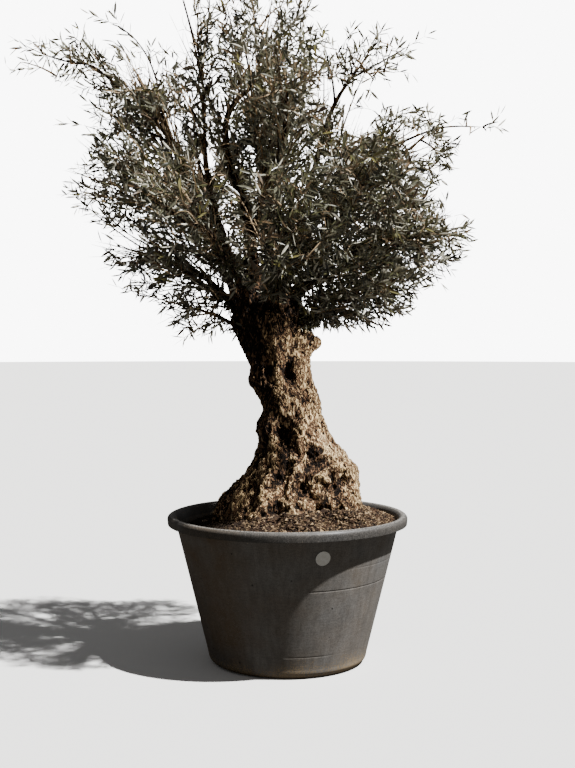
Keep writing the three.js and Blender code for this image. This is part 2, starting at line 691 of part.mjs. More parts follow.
// The soil fills the tub. It is flat where the trunk stands and falls towards the wall.
function soilGeometry() {
  const edge = SOIL_HEIGHT - SOIL_EDGE_DROP;
  return turned([
    new THREE.Vector2(0, TUB_FLOOR + GAP),
    new THREE.Vector2(TUB_BASE_RADIUS - 2 * GAP, TUB_FLOOR + GAP),
    new THREE.Vector2(TUB_FOOT_RADIUS - TUB_WALL - 2 * GAP, TUB_FOOT_HEIGHT),
    new THREE.Vector2(tubInside(edge) - 2 * GAP, edge),
    new THREE.Vector2(SOIL_SEAT_RADIUS, SOIL_HEIGHT),
    new THREE.Vector2(0, SOIL_HEIGHT),
  ]);
}

// The round tag lies along one flat of the tub's wall, on the side that is seen.
function tagMesh(material) {
  const slope = Math.atan2(TUB_TOP_RADIUS - TUB_FOOT_RADIUS, TUB_HEIGHT - RIM_DEPTH - TUB_FOOT_HEIGHT);
  const flat = (tubInside(TAG_HEIGHT) + TUB_WALL) * Math.cos(Math.PI / TUB_SIDES);
  const mesh = new THREE.Mesh(new THREE.CylinderGeometry(TAG_RADIUS, TAG_RADIUS, TAG_THICK, 24), material);
  const facing = radians(TAG_TURN - 90);
  const outwards = new THREE.Vector3(Math.cos(facing), Math.sin(facing), 0);
  const normal = outwards.clone().multiplyScalar(Math.cos(slope)).setZ(-Math.sin(slope));
  mesh.quaternion.setFromUnitVectors(new THREE.Vector3(0, 1, 0), normal);
  mesh.position
    .copy(outwards.multiplyScalar(flat))
    .setZ(TAG_HEIGHT)
    .addScaledVector(normal, TAG_THICK / 2 + GAP);
  mesh.name = "plant_tag";
  return mesh;
}

const finish = (color, roughness) => new THREE.MeshStandardMaterial({ color, roughness, metalness: 0 });
const bark = finish("#7d6d5f", 0.92);
const leafGreen = finish("#4a4b38", 0.6);
const plastic = finish("#2e2c2a", 0.62);
const earth = finish("#5b4a3f", 0.97);
const tagWhite = finish("#e4e2da", 0.5);

function named(name, geometry, material) {
  const mesh = new THREE.Mesh(geometry, material);
  mesh.name = name;
  return mesh;
}

// One mesh of solids that are joined.
function joined(name, solids, material) {
  return named(name, geometryOf(wasm.Manifold.union(solids)), material);
}

prepareMasses();
prepareLimbs();
const wood = woodPoints();
const carriers = new Set(MASSES.map((mass) => mass.carrier));
const stubsOn = (name) => [...carriers].filter((carrier) => carrier.on === name).map(stubOf);

const tree = new THREE.Group();
tree.name = "olive_tree";
tree.add(named("tub", turned(tubProfile()), plastic));
tree.add(named("soil", soilGeometry(), earth));
tree.add(tagMesh(tagWhite));
tree.add(joined("trunk", [trunkBody(), ...stubsOn("trunk")], bark));
for (const limb of LIMBS) {
  tree.add(joined(limb.name, [limbSolid(limb), ...stubsOn(limb.name)], bark));
}
MASSES.forEach((mass, i) => {
  tree.add(joined(mass.name + "_foliage", massSolids(mass, i + 1, wood), leafGreen));
});

export default tree;
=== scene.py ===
"""An old, pollarded olive tree in a round nursery tub of black plastic.

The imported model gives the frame. Sizes are in millimetres, as in the model's own source, and become
metres where a mesh is made. Z is up, the origin is the middle of the tub's underside, and -Y is the side
that is seen.
"""

import logging
import math
from dataclasses import dataclass, field
from enum import Enum
from typing import Callable, Sequence

import bpy
import numpy as np
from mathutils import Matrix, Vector, noise


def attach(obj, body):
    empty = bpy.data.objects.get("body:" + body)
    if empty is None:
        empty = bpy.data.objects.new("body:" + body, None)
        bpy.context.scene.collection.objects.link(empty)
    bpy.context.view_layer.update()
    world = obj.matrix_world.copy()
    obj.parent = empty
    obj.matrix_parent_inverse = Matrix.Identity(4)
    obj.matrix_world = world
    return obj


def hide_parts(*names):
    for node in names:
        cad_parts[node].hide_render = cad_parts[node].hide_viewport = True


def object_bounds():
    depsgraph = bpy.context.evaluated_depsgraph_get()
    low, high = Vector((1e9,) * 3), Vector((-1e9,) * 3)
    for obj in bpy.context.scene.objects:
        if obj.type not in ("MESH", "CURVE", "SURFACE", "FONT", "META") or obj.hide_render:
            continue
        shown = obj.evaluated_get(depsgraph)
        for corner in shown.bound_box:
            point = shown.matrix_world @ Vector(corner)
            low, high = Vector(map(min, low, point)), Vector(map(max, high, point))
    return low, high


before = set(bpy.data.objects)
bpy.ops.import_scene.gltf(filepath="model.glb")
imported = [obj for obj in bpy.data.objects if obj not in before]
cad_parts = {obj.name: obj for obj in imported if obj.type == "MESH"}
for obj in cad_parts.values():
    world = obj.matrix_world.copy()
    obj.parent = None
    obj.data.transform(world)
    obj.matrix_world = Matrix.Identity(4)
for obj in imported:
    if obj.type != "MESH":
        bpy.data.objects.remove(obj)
PACKED_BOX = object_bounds()

LOG = logging.getLogger("olive_tree")
MM = 0.001  # metres in a millimetre
BODY = "root"


class Slot(Enum):
    """Material slots."""

    PLASTIC = "plastic"
    SOIL = "soil"
    TAG = "tag"
    BARK = "bark"
    FOLIAGE = "foliage"


# Colour and nodes


def linear(colour: str) -> tuple[float, float, float, float]:
    """Turns an sRGB hex colour to linear.

    Args:
        colour: six hex digits after a hash.

    Returns:
        The linear red, green and blue, with an alpha of 1.
    """
    parts = [int(colour[i : i + 2], 16) / 255 for i in (1, 3, 5)]
    straight = [p / 12.92 if p <= 0.04045 else ((p + 0.055) / 1.055) ** 2.4 for p in parts]
    return (straight[0], straight[1], straight[2], 1.0)


def add_node(
    tree: bpy.types.NodeTree, kind: str, sockets: dict | None = None, output: str | int | None = 0,
    **settings: object,
) -> bpy.types.NodeSocket | bpy.types.NodeOutputs:
    """Adds one shader node with its settings and links.

    Args:
        tree: the node tree that it goes into.
        kind: the node's type name, without the part that all shader nodes share.
        sockets: a value, a hex colour, or the output that feeds it, for inputs by name or number.
        output: the name or number of the output to give back, or nothing for all of them.
        **settings: values of the node's own properties.

    Returns:
        The output, or all of them.
    """
    made = tree.nodes.new(f"ShaderNode{kind}")
    for name, value in settings.items():
        setattr(made, name, value)
    for name, value in (sockets or {}).items():
        if isinstance(value, bpy.types.NodeSocket):
            tree.links.new(value, made.inputs[name])
        else:
            made.inputs[name].default_value = linear(value) if isinstance(value, str) else value
    return made.outputs if output is None else made.outputs[output]


def new_material(name: str) -> tuple[bpy.types.Material, bpy.types.NodeTree]:
    """Makes a material and gives it back with its empty node tree."""
    material = bpy.data.materials.new(name)
    material.use_nodes = True
    material.node_tree.nodes.clear()
    return material, material.node_tree


# Meshes


def piece_from_arrays(name: str, points: np.ndarray, triangles: np.ndarray) -> bpy.types.Object:
    """Makes an object of one mesh from arrays.

    Args:
        name: the piece's name.
        points: vertex places in millimetres, one row each.
        triangles: vertex numbers, one row of three for each triangle.

    Returns:
        The object, at the origin.
    """
    mesh = bpy.data.meshes.new(name)
    mesh.from_pydata((points * MM).tolist(), [], triangles.tolist())
    mesh.update()
    piece = bpy.data.objects.new(name, mesh)
    bpy.context.scene.collection.objects.link(piece)
    return piece


def deselect() -> None:
    """Leaves edit mode, with nothing selected."""
    if bpy.context.object and bpy.context.object.mode != "OBJECT":
        bpy.ops.object.mode_set(mode="OBJECT")
    bpy.ops.object.select_all(action="DESELECT")


def pick(piece: bpy.types.Object) -> None:
    """Makes a piece the only one selected, and active."""
    deselect()
    piece.select_set(True)
    bpy.context.view_layer.objects.active = piece


def points_of(piece: bpy.types.Object) -> np.ndarray:
    """The places of a piece's vertices in millimetres, one row each."""
    flat = np.empty(len(piece.data.vertices) * 3)
    piece.data.vertices.foreach_get("co", flat)
    return flat.reshape(-1, 3) / MM


def move_points(piece: bpy.types.Object, points: np.ndarray) -> None:
    """Puts a piece's vertices at new places, given in millimetres."""
    piece.data.vertices.foreach_set("co", (points * MM).ravel())
    piece.data.update()


def store_values(piece: bpy.types.Object, name: str, values: np.ndarray) -> None:
    """Keeps a value from 0 to 1 at each vertex under a name, for a material to read."""
    layers = piece.data.attributes
    layer = layers.get(name) or layers.new(name, "FLOAT", "POINT")
    layer.data.foreach_set("value", np.clip(values, 0, 1).astype(np.float32))


def apply_modifier(piece: bpy.types.Object, kind: str, **settings: object) -> None:
    """Adds a modifier to a piece and applies it.

    Args:
        piece: the piece.
        kind: the modifier's type name.
        **settings: values of its properties.
    """
    pick(piece)
    modifier = piece.modifiers.new(kind.title(), kind)
    for name, value in settings.items():
        setattr(modifier, name, value)
    bpy.ops.object.modifier_apply(modifier=modifier.name)


def unit_rod(name: str, sides: int, rings: int) -> bpy.types.Object:
    """Models an upright rod of unit radius and height, from a disc that is drawn up ring by ring.

    Args:
        name: the piece's name.
        sides: how many sides the rod has.
        rings: how many spans it has along its height.

    Returns:
        The rod, in metres, from height 0 to 1.
    """
    deselect()
    bpy.ops.mesh.primitive_cylinder_add(
        vertices=sides, radius=1, depth=1, end_fill_type="TRIFAN", location=(0, 0, 0.5)
    )
    rod = bpy.context.object
    rod.name = name
    bpy.ops.object.transform_apply(location=True, rotation=False, scale=False)
    if rings > 1:
        bpy.ops.object.mode_set(mode="EDIT")
        bpy.ops.mesh.select_mode(type="EDGE")
        bpy.ops.mesh.select_all(action="DESELECT")
        bpy.ops.object.mode_set(mode="OBJECT")
        for edge in rod.data.edges:
            low, high = (rod.data.vertices[v].co for v in edge.vertices)
            edge.select = abs(low.z - high.z) > 0.5
        bpy.ops.object.mode_set(mode="EDIT")
        bpy.ops.mesh.subdivide(number_cuts=rings - 1)
        bpy.ops.mesh.select_mode(type="VERT")
        bpy.ops.object.mode_set(mode="OBJECT")
    return rod


def turned_solid(name: str, profile: Sequence[tuple[float, float]], sides: int) -> bpy.types.Object:
    """Models a closed round solid: a disc that is extruded and resized from ring to ring.

    Args:
        name: the piece's name.
        profile: radius and height of each ring in millimetres, from the first face's edge to the last's.
        sides: how many sides it has round.

    Returns:
        The solid, closed by a flat face at its first and its last ring.
    """
    deselect()
    radius, height = profile[0]
    bpy.ops.mesh.primitive_circle_add(
        vertices=sides, radius=radius * MM, fill_type="NGON", location=(0, 0, height * MM)
    )
    piece = bpy.context.object
    piece.name = name
    bpy.ops.object.transform_apply(location=True, rotation=False, scale=False)
    bpy.ops.object.mode_set(mode="EDIT")
    bpy.ops.mesh.select_all(action="SELECT")
    for next_radius, next_height in profile[1:]:
        bpy.ops.mesh.extrude_region_move(
            TRANSFORM_OT_translate={"value": (0, 0, (next_height - height) * MM)}
        )
        if next_radius != radius:
            grow = next_radius / radius
            bpy.ops.transform.resize(value=(grow, grow, 1), center_override=(0, 0, next_height * MM))
        radius, height = next_radius, next_height
    bpy.ops.mesh.select_all(action="SELECT")
    bpy.ops.mesh.normals_make_consistent(inside=False)
    bpy.ops.object.mode_set(mode="OBJECT")
    return piece


def finish_piece(piece: bpy.types.Object, nodes: Sequence[str]) -> None:
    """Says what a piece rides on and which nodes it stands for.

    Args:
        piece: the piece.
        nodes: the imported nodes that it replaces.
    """
    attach(piece, BODY)
    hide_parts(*nodes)
    LOG.info("%s: %d faces", piece.name, len(piece.data.polygons))


# Paths


class Path:
    """A smooth curve through space that is walked by shares of its length."""

    DIVISIONS = 200
    TANGENT_STEP = 1e-4

    def __init__(self, place: Callable[[np.ndarray], np.ndarray]) -> None:
        """Measures the curve.

        Args:
            place: gives the points at an array of parameters from 0 to 1.
        """
        self._place = place
        self._grid = np.linspace(0, 1, self.DIVISIONS + 1)
        steps = np.linalg.norm(np.diff(place(self._grid), axis=0), axis=1)
        self._run = np.concatenate([[0], np.cumsum(steps)])
        self.long = float(self._run[-1])

    def _parameters(self, shares: np.ndarray) -> np.ndarray:
        """The curve's parameters at shares of its length."""
        return np.interp(np.atleast_1d(shares) * self.long, self._run, self._grid)

    def at(self, shares: np.ndarray | float) -> np.ndarray:
        """The points at shares of the length, one row each."""
        return self._place(self._parameters(shares))

    def heading(self, shares: np.ndarray | float) -> np.ndarray:
        """Unit directions of the curve at shares of its length, one row each."""
        t = self._parameters(shares)
        step = self._place(np.minimum(t + self.TANGENT_STEP, 1)) - self._place(
            np.maximum(t - self.TANGENT_STEP, 0)
        )
        return step / np.linalg.norm(step, axis=1, keepdims=True)

    def trail(self, start: float, end: float, count: int) -> np.ndarray:
        """Points at count + 1 even shares from start to end."""
        return self.at(np.linspace(start, end, count + 1))


def path_through(points: np.ndarray) -> Path:
    """A smooth path through points, whose direction at each follows the two beside it."""
    ends = np.vstack([2 * points[0] - points[1], points, 2 * points[-1] - points[-2]])
    spans = len(points) - 1

    def place(t: np.ndarray) -> np.ndarray:
        scaled = np.clip(t, 0, 1) * spans
        i = np.minimum(scaled.astype(int), spans - 1)
        w = (scaled - i)[:, None]
        before, start, end, after = ends[i], ends[i + 1], ends[i + 2], ends[i + 3]
        out, into = 0.5 * (end - before), 0.5 * (after - start)
        square = -3 * start + 3 * end - 2 * out - into
        cube = 2 * start - 2 * end + out + into
        return start + out * w + square * w**2 + cube * w**3

    return Path(place)


def bowed_path(start: np.ndarray, middle: np.ndarray, end: np.ndarray) -> Path:
    """A path from start to end that leans towards a middle point."""

    def place(t: np.ndarray) -> np.ndarray:
        w = t[:, None]
        return (1 - w) ** 2 * start + 2 * w * (1 - w) * middle + w**2 * end

    return Path(place)


def unit(vector: np.ndarray) -> np.ndarray:
    """A vector, or each row of an array, at length 1."""
    return vector / np.maximum(np.linalg.norm(vector, axis=-1, keepdims=True), 1e-9)


def square_to(headings: np.ndarray) -> tuple[np.ndarray, np.ndarray]:
    """Two unit directions at right angles to each heading of a path, and to each other."""
    side = unit(np.cross(np.eye(3)[int(np.argmin(np.abs(headings[0])))], headings))
    return side, np.cross(headings, side)


def between(limits: Sequence[float], share: np.ndarray | float) -> np.ndarray | float:
    """The value at a share of the way from the first limit to the second."""
    return limits[0] + (limits[1] - limits[0]) * share


def copies_of(
    roots: np.ndarray, axes: Sequence[np.ndarray], spans: Sequence[np.ndarray]
) -> np.ndarray:
    """The points of many copies of a shape, each at its own root and on three axes of its own.

    Args:
        roots: where the copies stand, one row each.
        axes: their three directions, one array for each.
        spans: how far their points lie along each direction, one row for each copy.

    Returns:
        The points, one row each, copy after copy.
    """
    points = roots[:, None]
    for axis, span in zip(axes, spans):
        points = points + axis[:, None] * span[..., None]
    return points.reshape(-1, 3)


# The tree's plan, as the model's source has it


GAP = 0.3
TRUNK_TOP = 1885.0
SOIL_HEIGHT = 700.0
ROOT_TOP = 960.0
COLLAR_SWELL = 0.55
COLLAR_REACH = 70.0
STEM_THINNEST = 1.15
WOOD_SPACING = 15.0
TWIG_REACH = 0.66
TWIG_REACH_SPREAD = 0.15
TWIG_RISE = 0.12
TWIG_SWAY = 0.16
TWIG_SHORTEST = 40.0
STEM_BARE = 0.3
TWIG_BASE_RADIUS = 6.0
TWIG_TIP_RADIUS = 3.0
CLEAR_OF_LIMBS = 6.0
CLEAR_OF_SPACE = 5.0
GOLDEN_TURN = math.pi * (3 - math.sqrt(5))
EYE = np.array([0.0, -6000.0, 1650.0])  # where the photograph was taken from

# The trunk's outline: height, then the centre and half width across X, and the half depth across Y.
TRUNK_STATIONS = np.array(
    [
        [700, 20, 352, 335],
        [760, 20, 348, 325],
        [830, 32, 332, 300],
        [930, 64, 282, 262],
        [1030, 69, 218, 215],
        [1105, 36, 180, 182],
        [1180, 18, 163, 160],
        [1255, 17, 136, 143],
        [1330, 0, 147, 140],
        [1400, -36, 151, 142],
        [1480, -40, 141, 145],
        [1555, -58, 158, 152],
        [1655, -80, 184, 165],
        [1740, -90, 182, 162],
        [1815, -102, 150, 138],
        [1860, -108, 105, 100],
        [TRUNK_TOP, -112, 52, 50],
    ],
    dtype=float,
)

# Burls stand out and hollows go in: angle from +X in degrees, height, size across and along, and how far.
TRUNK_LUMPS = [
    (-12, 1588, 85, 48, 62),
    (-67, 1455, 36, 62, -78),
    (-104, 1130, 40, 85, -80),
    (-112, 945, 44, 85, -88),
    (-97, 955, 28, 90, 40),
    (-126, 930, 30, 80, 38),
    (-149, 890, 36, 85, 34),
    (-137, 850, 28, 60, -46),
    (-114, 795, 32, 55, 36),
    (-103, 770, 28, 50, -62),
    (-91, 805, 36, 48, 38),
    (-84, 890, 36, 50, -62),
    (-72, 1025, 50, 42, -60),
    (-64, 900, 28, 95, 40),
    (-54, 895, 45, 45, -52),
    (-64, 765, 42, 48, -70),
    (-76, 770, 28, 60, 36),
    (-44, 800, 32, 70, 36),
    (-30, 900, 38, 42, -52),
    (-36, 985, 36, 44, 34),
    (-125, 790, 34, 44, -44),
    (-105, 1290, 26, 75, 26),
    (-140, 1400, 48, 60, 22),
    (-120, 1560, 40, 90, -34),
    (-84, 1640, 34, 80, 24),
    (-50, 1330, 30, 90, -30),
    (-30, 1250, 60, 90, 14),
    (100, 1300, 70, 60, 38),
    (75, 905, 60, 80, -62),
    (140, 1010, 55, 70, -40),
    (40, 1500, 60, 70, 30),
    (120, 1620, 70, 60, 32),
    (30, 950, 50, 80, 36),
    (110, 860, 45, 60, -55),
    (165, 880, 50, 70, -44),
    (70, 1180, 45, 90, -36),
]

# The trunk's paler cords and deep gaps: angle from +X in degrees, height, size across and along, and how
# much paler the bark is there, or darker below 0. The paler cords are weathered bark and partly painted
# highlight; the darker gaps, the knot hole among them, are painted shade.
FOOT_WEAR_AND_SHADE = [
    (-160, 944, 20, 40, 0.22),
    (-144, 828, 26, 30, 0.34),
    (-127, 968, 17, 48, 0.22),
    (-120, 854, 22, 38, 0.31),
    (-107, 972, 17, 95, 0.24),
    (-110, 884, 39, 14, 0.19),
    (-100, 838, 33, 33, 0.22),
    (-87, 1042, 15, 39, 0.17),
    (-46, 1068, 17, 39, 0.17),
    (-69, 935, 14, 86, 0.19),
    (-50, 961, 44, 17, 0.19),
    (-38, 841, 39, 19, 0.2),
    (-125, 1117, 24, 34, 0.19),
    (-118, 994, 24, 97, -0.5),
    (-131, 863, 19, 39, -0.5),
    (-108, 810, 17, 40, -0.55),
    (-66, 1040, 42, 39, -0.4),
    (-79, 973, 17, 19, -0.45),
    (-89, 902, 32, 66, -0.34),
    (-47, 879, 22, 58, -0.4),
    (-61, 776, 29, 39, -0.45),
    (-67, 1455, 26, 48, -0.6),
]

# Roots that flare out at the foot: angle from +X and spread in degrees, and reach.
ROOTS = [
    (-168, 14, 28),
    (-140, 10, 40),
    (-112, 9, 55),
    (-84, 8, 60),
    (-45, 10, 42),
    (-15, 11, 22),
    (25, 12, 45),
    (60, 10, 60),
    (98, 12, 65),
    (130, 10, 50),
]


@dataclass(frozen=True)
class Limb:
    """A tapering bough: what carries it, how long its stub is, its radii and the points it passes."""

    name: str
    on: str
    stub: float
    radii: tuple[float, float]
    through: tuple[tuple[float, float, float], ...]


@dataclass(frozen=True)
class Mass:
    """A mass of foliage: its space, what carries it, and how thickly it is grown.

    The limb is the mass's own where it grows straight from a stub on the trunk. Shoots is how many leafy
    shoots the mass has, branchlets how many bare twigs carry them, beside how many leafy shoots stand along
    the limb below the mass, and whips how many long thin twigs sweep out from the limb.
    """

    name: str
    middle: tuple[float, float, float]
    half: tuple[float, float, float]
    on: str
    twigs: int
    shoots: int
    branchlets: int
    beside: int
    whips: int
    limb: Limb | None = None


@dataclass(frozen=True)
class LoneTwig:
    """A twig that stands out of the crown: whose limb it leaves and where, and how it bends and ends.

    It bears leafy shoots from a share of its length on, and is bare where that is 1.
    """

    mass: str
    share: float
    bend: tuple[float, float, float]
    end: tuple[float, float, float]
    leafy_from: float


@dataclass(frozen=True)
class OpenStretch:
    """A stretch of a limb that shows between the leaves: whose, its heights, and the gap's half width."""

    mass: str
    heights: tuple[float, float]
    half: float


LIMBS = [
    Limb("left_bough", "trunk", 150, (40, 15),
         ((-195, -5, 1730), (-262, -18, 1880), (-300, -28, 1990), (-375, -38, 2125), (-545, -42, 2215))),
    Limb("centre_leader", "trunk", 215, (44, 12),
         ((-120, 15, 1750), (-178, 15, 1960), (-190, 12, 2150), (-235, 30, 2330), (-292, 40, 2500),
          (-308, 36, 2680), (-255, 22, 2795), (-180, 10, 2865))),
    Limb("centre_fork", "centre_leader", 95, (24, 12),
         ((-189, 12, 2120), (-140, -25, 2240), (-105, -50, 2370))),
    Limb("tall_bough", "left_bough", 105, (23, 7),
         ((-312, -28, 2010), (-352, 20, 2200), (-405, 30, 2460), (-414, 38, 2680), (-420, 40, 2830))),
    Limb("upper_left_bough", "left_bough", 75, (21, 9),
         ((-395, -38, 2140), (-455, -8, 2300), (-535, 5, 2500), (-600, 5, 2640))),
    Limb("arching_shoot", "upper_left_bough", 68, (10, 5),
         ((-478, -3, 2360), (-585, 62, 2500), (-730, 60, 2700), (-850, 20, 2860), (-960, -15, 2955))),
    Limb("lower_left_bough", "trunk", 160, (25, 12),
         ((-180, 25, 1690), (-300, 45, 1810), (-400, 40, 1905), (-500, 25, 1970))),
    Limb("right_bough", "trunk", 195, (35, 14),
         ((-50, -20, 1720), (60, -28, 1850), (180, -30, 1960), (340, -28, 2050))),
    Limb("low_right_bough", "trunk", 170, (26, 13),
         ((-30, -40, 1625), (90, -75, 1705), (190, -80, 1790))),
    Limb("right_leader", "trunk", 190, (37, 12),
         ((-80, 45, 1750), (10, 62, 1950), (90, 75, 2130), (200, 70, 2290), (370, 40, 2440))),
    Limb("upper_right_bough", "right_leader", 110, (21, 9),
         ((78, 72, 2100), (92, 120, 2280), (150, 90, 2520), (215, 60, 2740), (290, 25, 2870))),
    Limb("inner_right_bough", "right_bough", 88, (18, 10),
         ((110, -30, 1902), (165, -50, 2060), (200, -50, 2220))),
    Limb("long_right_shoot", "right_leader", 60, (10, 4.5),
         ((225, 68, 2312), (330, 120, 2430), (500, 110, 2560), (680, 60, 2640), (800, 20, 2665))),
    Limb("front_bough", "trunk", 165, (30, 14),
         ((-90, -60, 1700), (-65, -185, 1840), (-30, -300, 1970))),
    Limb("front_left_bough", "trunk", 170, (26, 11),
         ((-150, -55, 1715), (-235, -150, 1880), (-320, -260, 2030))),
    Limb("front_right_bough", "front_bough", 78, (20, 10),
         ((-55, -215, 1873), (75, -280, 2000), (220, -350, 2150))),
    Limb("front_top_bough", "front_bough", 80, (17, 9),
         ((-52, -235, 1893), (-95, -215, 2100), (-60, -255, 2330), (-20, -300, 2530))),
    Limb("back_bough", "trunk", 165, (30, 14),
         ((-100, 75, 1700), (-95, 200, 1840), (-75, 320, 1980))),
    Limb("back_left_bough", "trunk", 175, (28, 11),
         ((-150, 60, 1725), (-230, 150, 1900), (-310, 260, 2080), (-360, 330, 2230))),
    Limb("back_right_bough", "back_bough", 80, (20, 10),
         ((-90, 228, 1872), (60, 275, 1990), (210, 345, 2130))),
    Limb("back_top_bough", "back_bough", 80, (18, 9),
         ((-88, 245, 1890), (-105, 235, 2100), (-70, 270, 2340), (-30, 320, 2560))),
]

HANGING_LIMB = Limb("hanging_stub", "trunk", 135, (16, 8), ((-180, -30, 1640), (-300, -55, 1700)))

MASSES = [
    Mass("top", (-112, 0, 3070), (292, 270, 300), "centre_leader", 9, 75, 26, 66, 29),
    Mass("tall", (-432, 40, 3065), (125, 115, 295), "tall_bough", 5, 28, 12, 25, 20),
    Mass("upper_left", (-665, 5, 2768), (285, 255, 222), "upper_left_bough", 7, 65, 56, 31, 47),
    Mass("arching", (-1100, -30, 2965), (285, 105, 145), "arching_shoot", 5, 17, 8, 12, 9),
    Mass("left", (-755, -30, 2370), (300, 265, 212), "left_bough", 7, 60, 56, 46, 50),
    Mass("lower_left", (-625, 20, 2000), (250, 225, 188), "lower_left_bough", 7, 59, 40, 50, 31),
    Mass("hanging", (-430, -60, 1760), (150, 140, 135), "trunk", 6, 34, 14, 10, 4, limb=HANGING_LIMB),
    Mass("centre", (-140, -80, 2590), (300, 240, 262), "centre_fork", 7, 87, 40, 23, 34),
    Mass("upper_right", (375, 0, 2975), (258, 195, 160), "upper_right_bough", 7, 20, 14, 27, 7),
    Mass("right_top", (612, 0, 2550), (230, 230, 200), "right_leader", 7, 92, 30, 44, 11),
    Mass("long_right", (970, -5, 2660), (180, 75, 85), "long_right_shoot", 4, 3, 2, 5, 2),
    Mass("right", (600, -20, 2125), (282, 265, 232), "right_bough", 8, 178, 48, 130, 21),
    Mass("low_right", (340, -70, 1875), (272, 240, 205), "low_right_bough", 8, 204, 44, 150, 24),
    Mass("inner_right", (235, -40, 2470), (240, 225, 255), "inner_right_bough", 6, 130, 34, 40, 13),
    Mass("front", (0, -510, 2150), (295, 275, 265), "front_bough", 8, 168, 36, 104, 21),
    Mass("front_left", (-430, -430, 2240), (265, 260, 265), "front_left_bough", 7, 68, 34, 65, 20),
    Mass("front_right", (395, -430, 2330), (262, 260, 262), "front_right_bough", 7, 150, 36, 50, 13),
    Mass("front_top", (0, -400, 2790), (275, 255, 240), "front_top_bough", 6, 72, 28, 38, 14),
    Mass("back", (-60, 510, 2150), (295, 275, 275), "back_bough", 7, 128, 36, 60, 13),
    Mass("back_left", (-430, 450, 2420), (282, 270, 275), "back_left_bough", 6, 65, 34, 51, 15),
    Mass("back_right", (375, 450, 2320), (282, 270, 275), "back_right_bough", 6, 128, 36, 42, 12),
    Mass("back_top", (0, 420, 2820), (280, 260, 242), "back_top_bough", 6, 68, 28, 37, 13),
]

LONE_TWIGS = [
    LoneTwig("upper_left", 0.85, (-640, 20, 3080), (-870, 0, 3170), 0.5),
    LoneTwig("left", 0.42, (-900, -40, 2390), (-1085, -50, 2445), 1.0),
    LoneTwig("left", 0.6, (-830, -60, 2640), (-1010, -60, 2660), 0.8),
    LoneTwig("lower_left", 0.5, (-800, -20, 2230), (-960, -30, 2330), 1.0),
    LoneTwig("tall", 0.8, (-470, 40, 3130), (-528, 30, 3315), 0.7),
    LoneTwig("tall", 0.9, (-395, 40, 3120), (-385, 40, 3330), 0.9),
    LoneTwig("tall", 0.55, (-540, 0, 2740), (-690, -10, 2752), 1.0),
    LoneTwig("right_top", 0.9, (480, 0, 2730), (415, 0, 2745), 0.5),
    LoneTwig("upper_right", 0.9, (480, 20, 2990), (600, 10, 3060), 0.3),
    LoneTwig("low_right", 0.22, (85, -75, 1765), (112, -70, 1850), 0.1),
    LoneTwig("right", 0.3, (125, -60, 1850), (150, -75, 1775), 0.1),
    LoneTwig("low_right", 0.35, (150, -110, 1800), (175, -130, 1905), 0.1),
    LoneTwig("right", 0.42, (190, -60, 1880), (235, -80, 1800), 0.1),
    LoneTwig("low_right", 0.45, (225, -110, 1830), (240, -130, 1920), 0.1),
    LoneTwig("front", 0.35, (50, -230, 1850), (135, -240, 1885), 0.2),
    LoneTwig("front", 0.3, (40, -200, 1780), (115, -230, 1805), 0.2),
    LoneTwig("upper_left", 0.7, (-800, 0, 2680), (-930, 0, 2750), 0.3),
    LoneTwig("left", 0.75, (-880, -20, 2520), (-925, -10, 2650), 0.2),
    LoneTwig("arching", 0.75, (-930, 0, 3010), (-985, 0, 3080), 0.2),
    LoneTwig("arching", 0.62, (-880, -20, 2870), (-965, -30, 2850), 0.2),
    LoneTwig("upper_right", 0.75, (230, 40, 2900), (185, 40, 3065), 0.25),
    LoneTwig("upper_right", 0.85, (280, 30, 2980), (300, 20, 3080), 0.2),
    LoneTwig("top", 0.8, (-260, 10, 3110), (-305, 20, 3270), 0.2),
    LoneTwig("top", 0.85, (-230, -20, 3150), (-262, -20, 3250), 0.2),
    LoneTwig("tall", 0.6, (-460, 20, 2730), (-510, 20, 2800), 0.2),
    LoneTwig("tall", 0.75, (-400, 20, 2850), (-380, 20, 2920), 0.2),
    LoneTwig("right", 0.95, (650, -20, 2280), (720, -20, 2390), 0.2),
    LoneTwig("right", 0.85, (640, -60, 2250), (690, -80, 2340), 0.2),
    LoneTwig("right", 0.9, (640, 0, 2030), (715, 0, 1945), 0.2),
    LoneTwig("right", 0.95, (680, -60, 2030), (750, -60, 1985), 0.2),
    LoneTwig("top", 0.3, (-270, 0, 2200), (-305, -20, 2290), 0.2),
]

OPEN_STRETCHES = [
    OpenStretch("top", (2160, 2870), 21),
    OpenStretch("centre", (2180, 2450), 16),
    OpenStretch("left", (2110, 2330), 13),
    OpenStretch("tall", (2250, 2830), 12),
]

# Where the sky shows through the crown: the middle and the half size, across X and up.
OPENINGS = [
    (-737, 2930, 110, 90),
    (-597, 2655, 78, 100),
    (-412, 2480, 62, 72),
    (-512, 3150, 82, 190),
    (-97, 3205, 52, 110),
    (-187, 2975, 46, 52),
    (212, 2830, 62, 82),
    (337, 2680, 88, 72),
    (652, 2580, 92, 78),
    (822, 2235, 58, 92),
    (-787, 2080, 76, 80),
]


class SourceDraws:
    """The random numbers of the model's source, from 0 to 1 and the same in every run."""

    def __init__(self, seed: int) -> None:
        """Starts from a seed and discards two draws."""
        self._state = ((seed + 17) * 2654435761) & 0xFFFFFFFF
        self.draw()
        self.draw()

    def draw(self) -> float:
        """The next number."""
        self._state = (self._state * 1664525 + 1013904223) & 0xFFFFFFFF
        return self._state / 4294967296


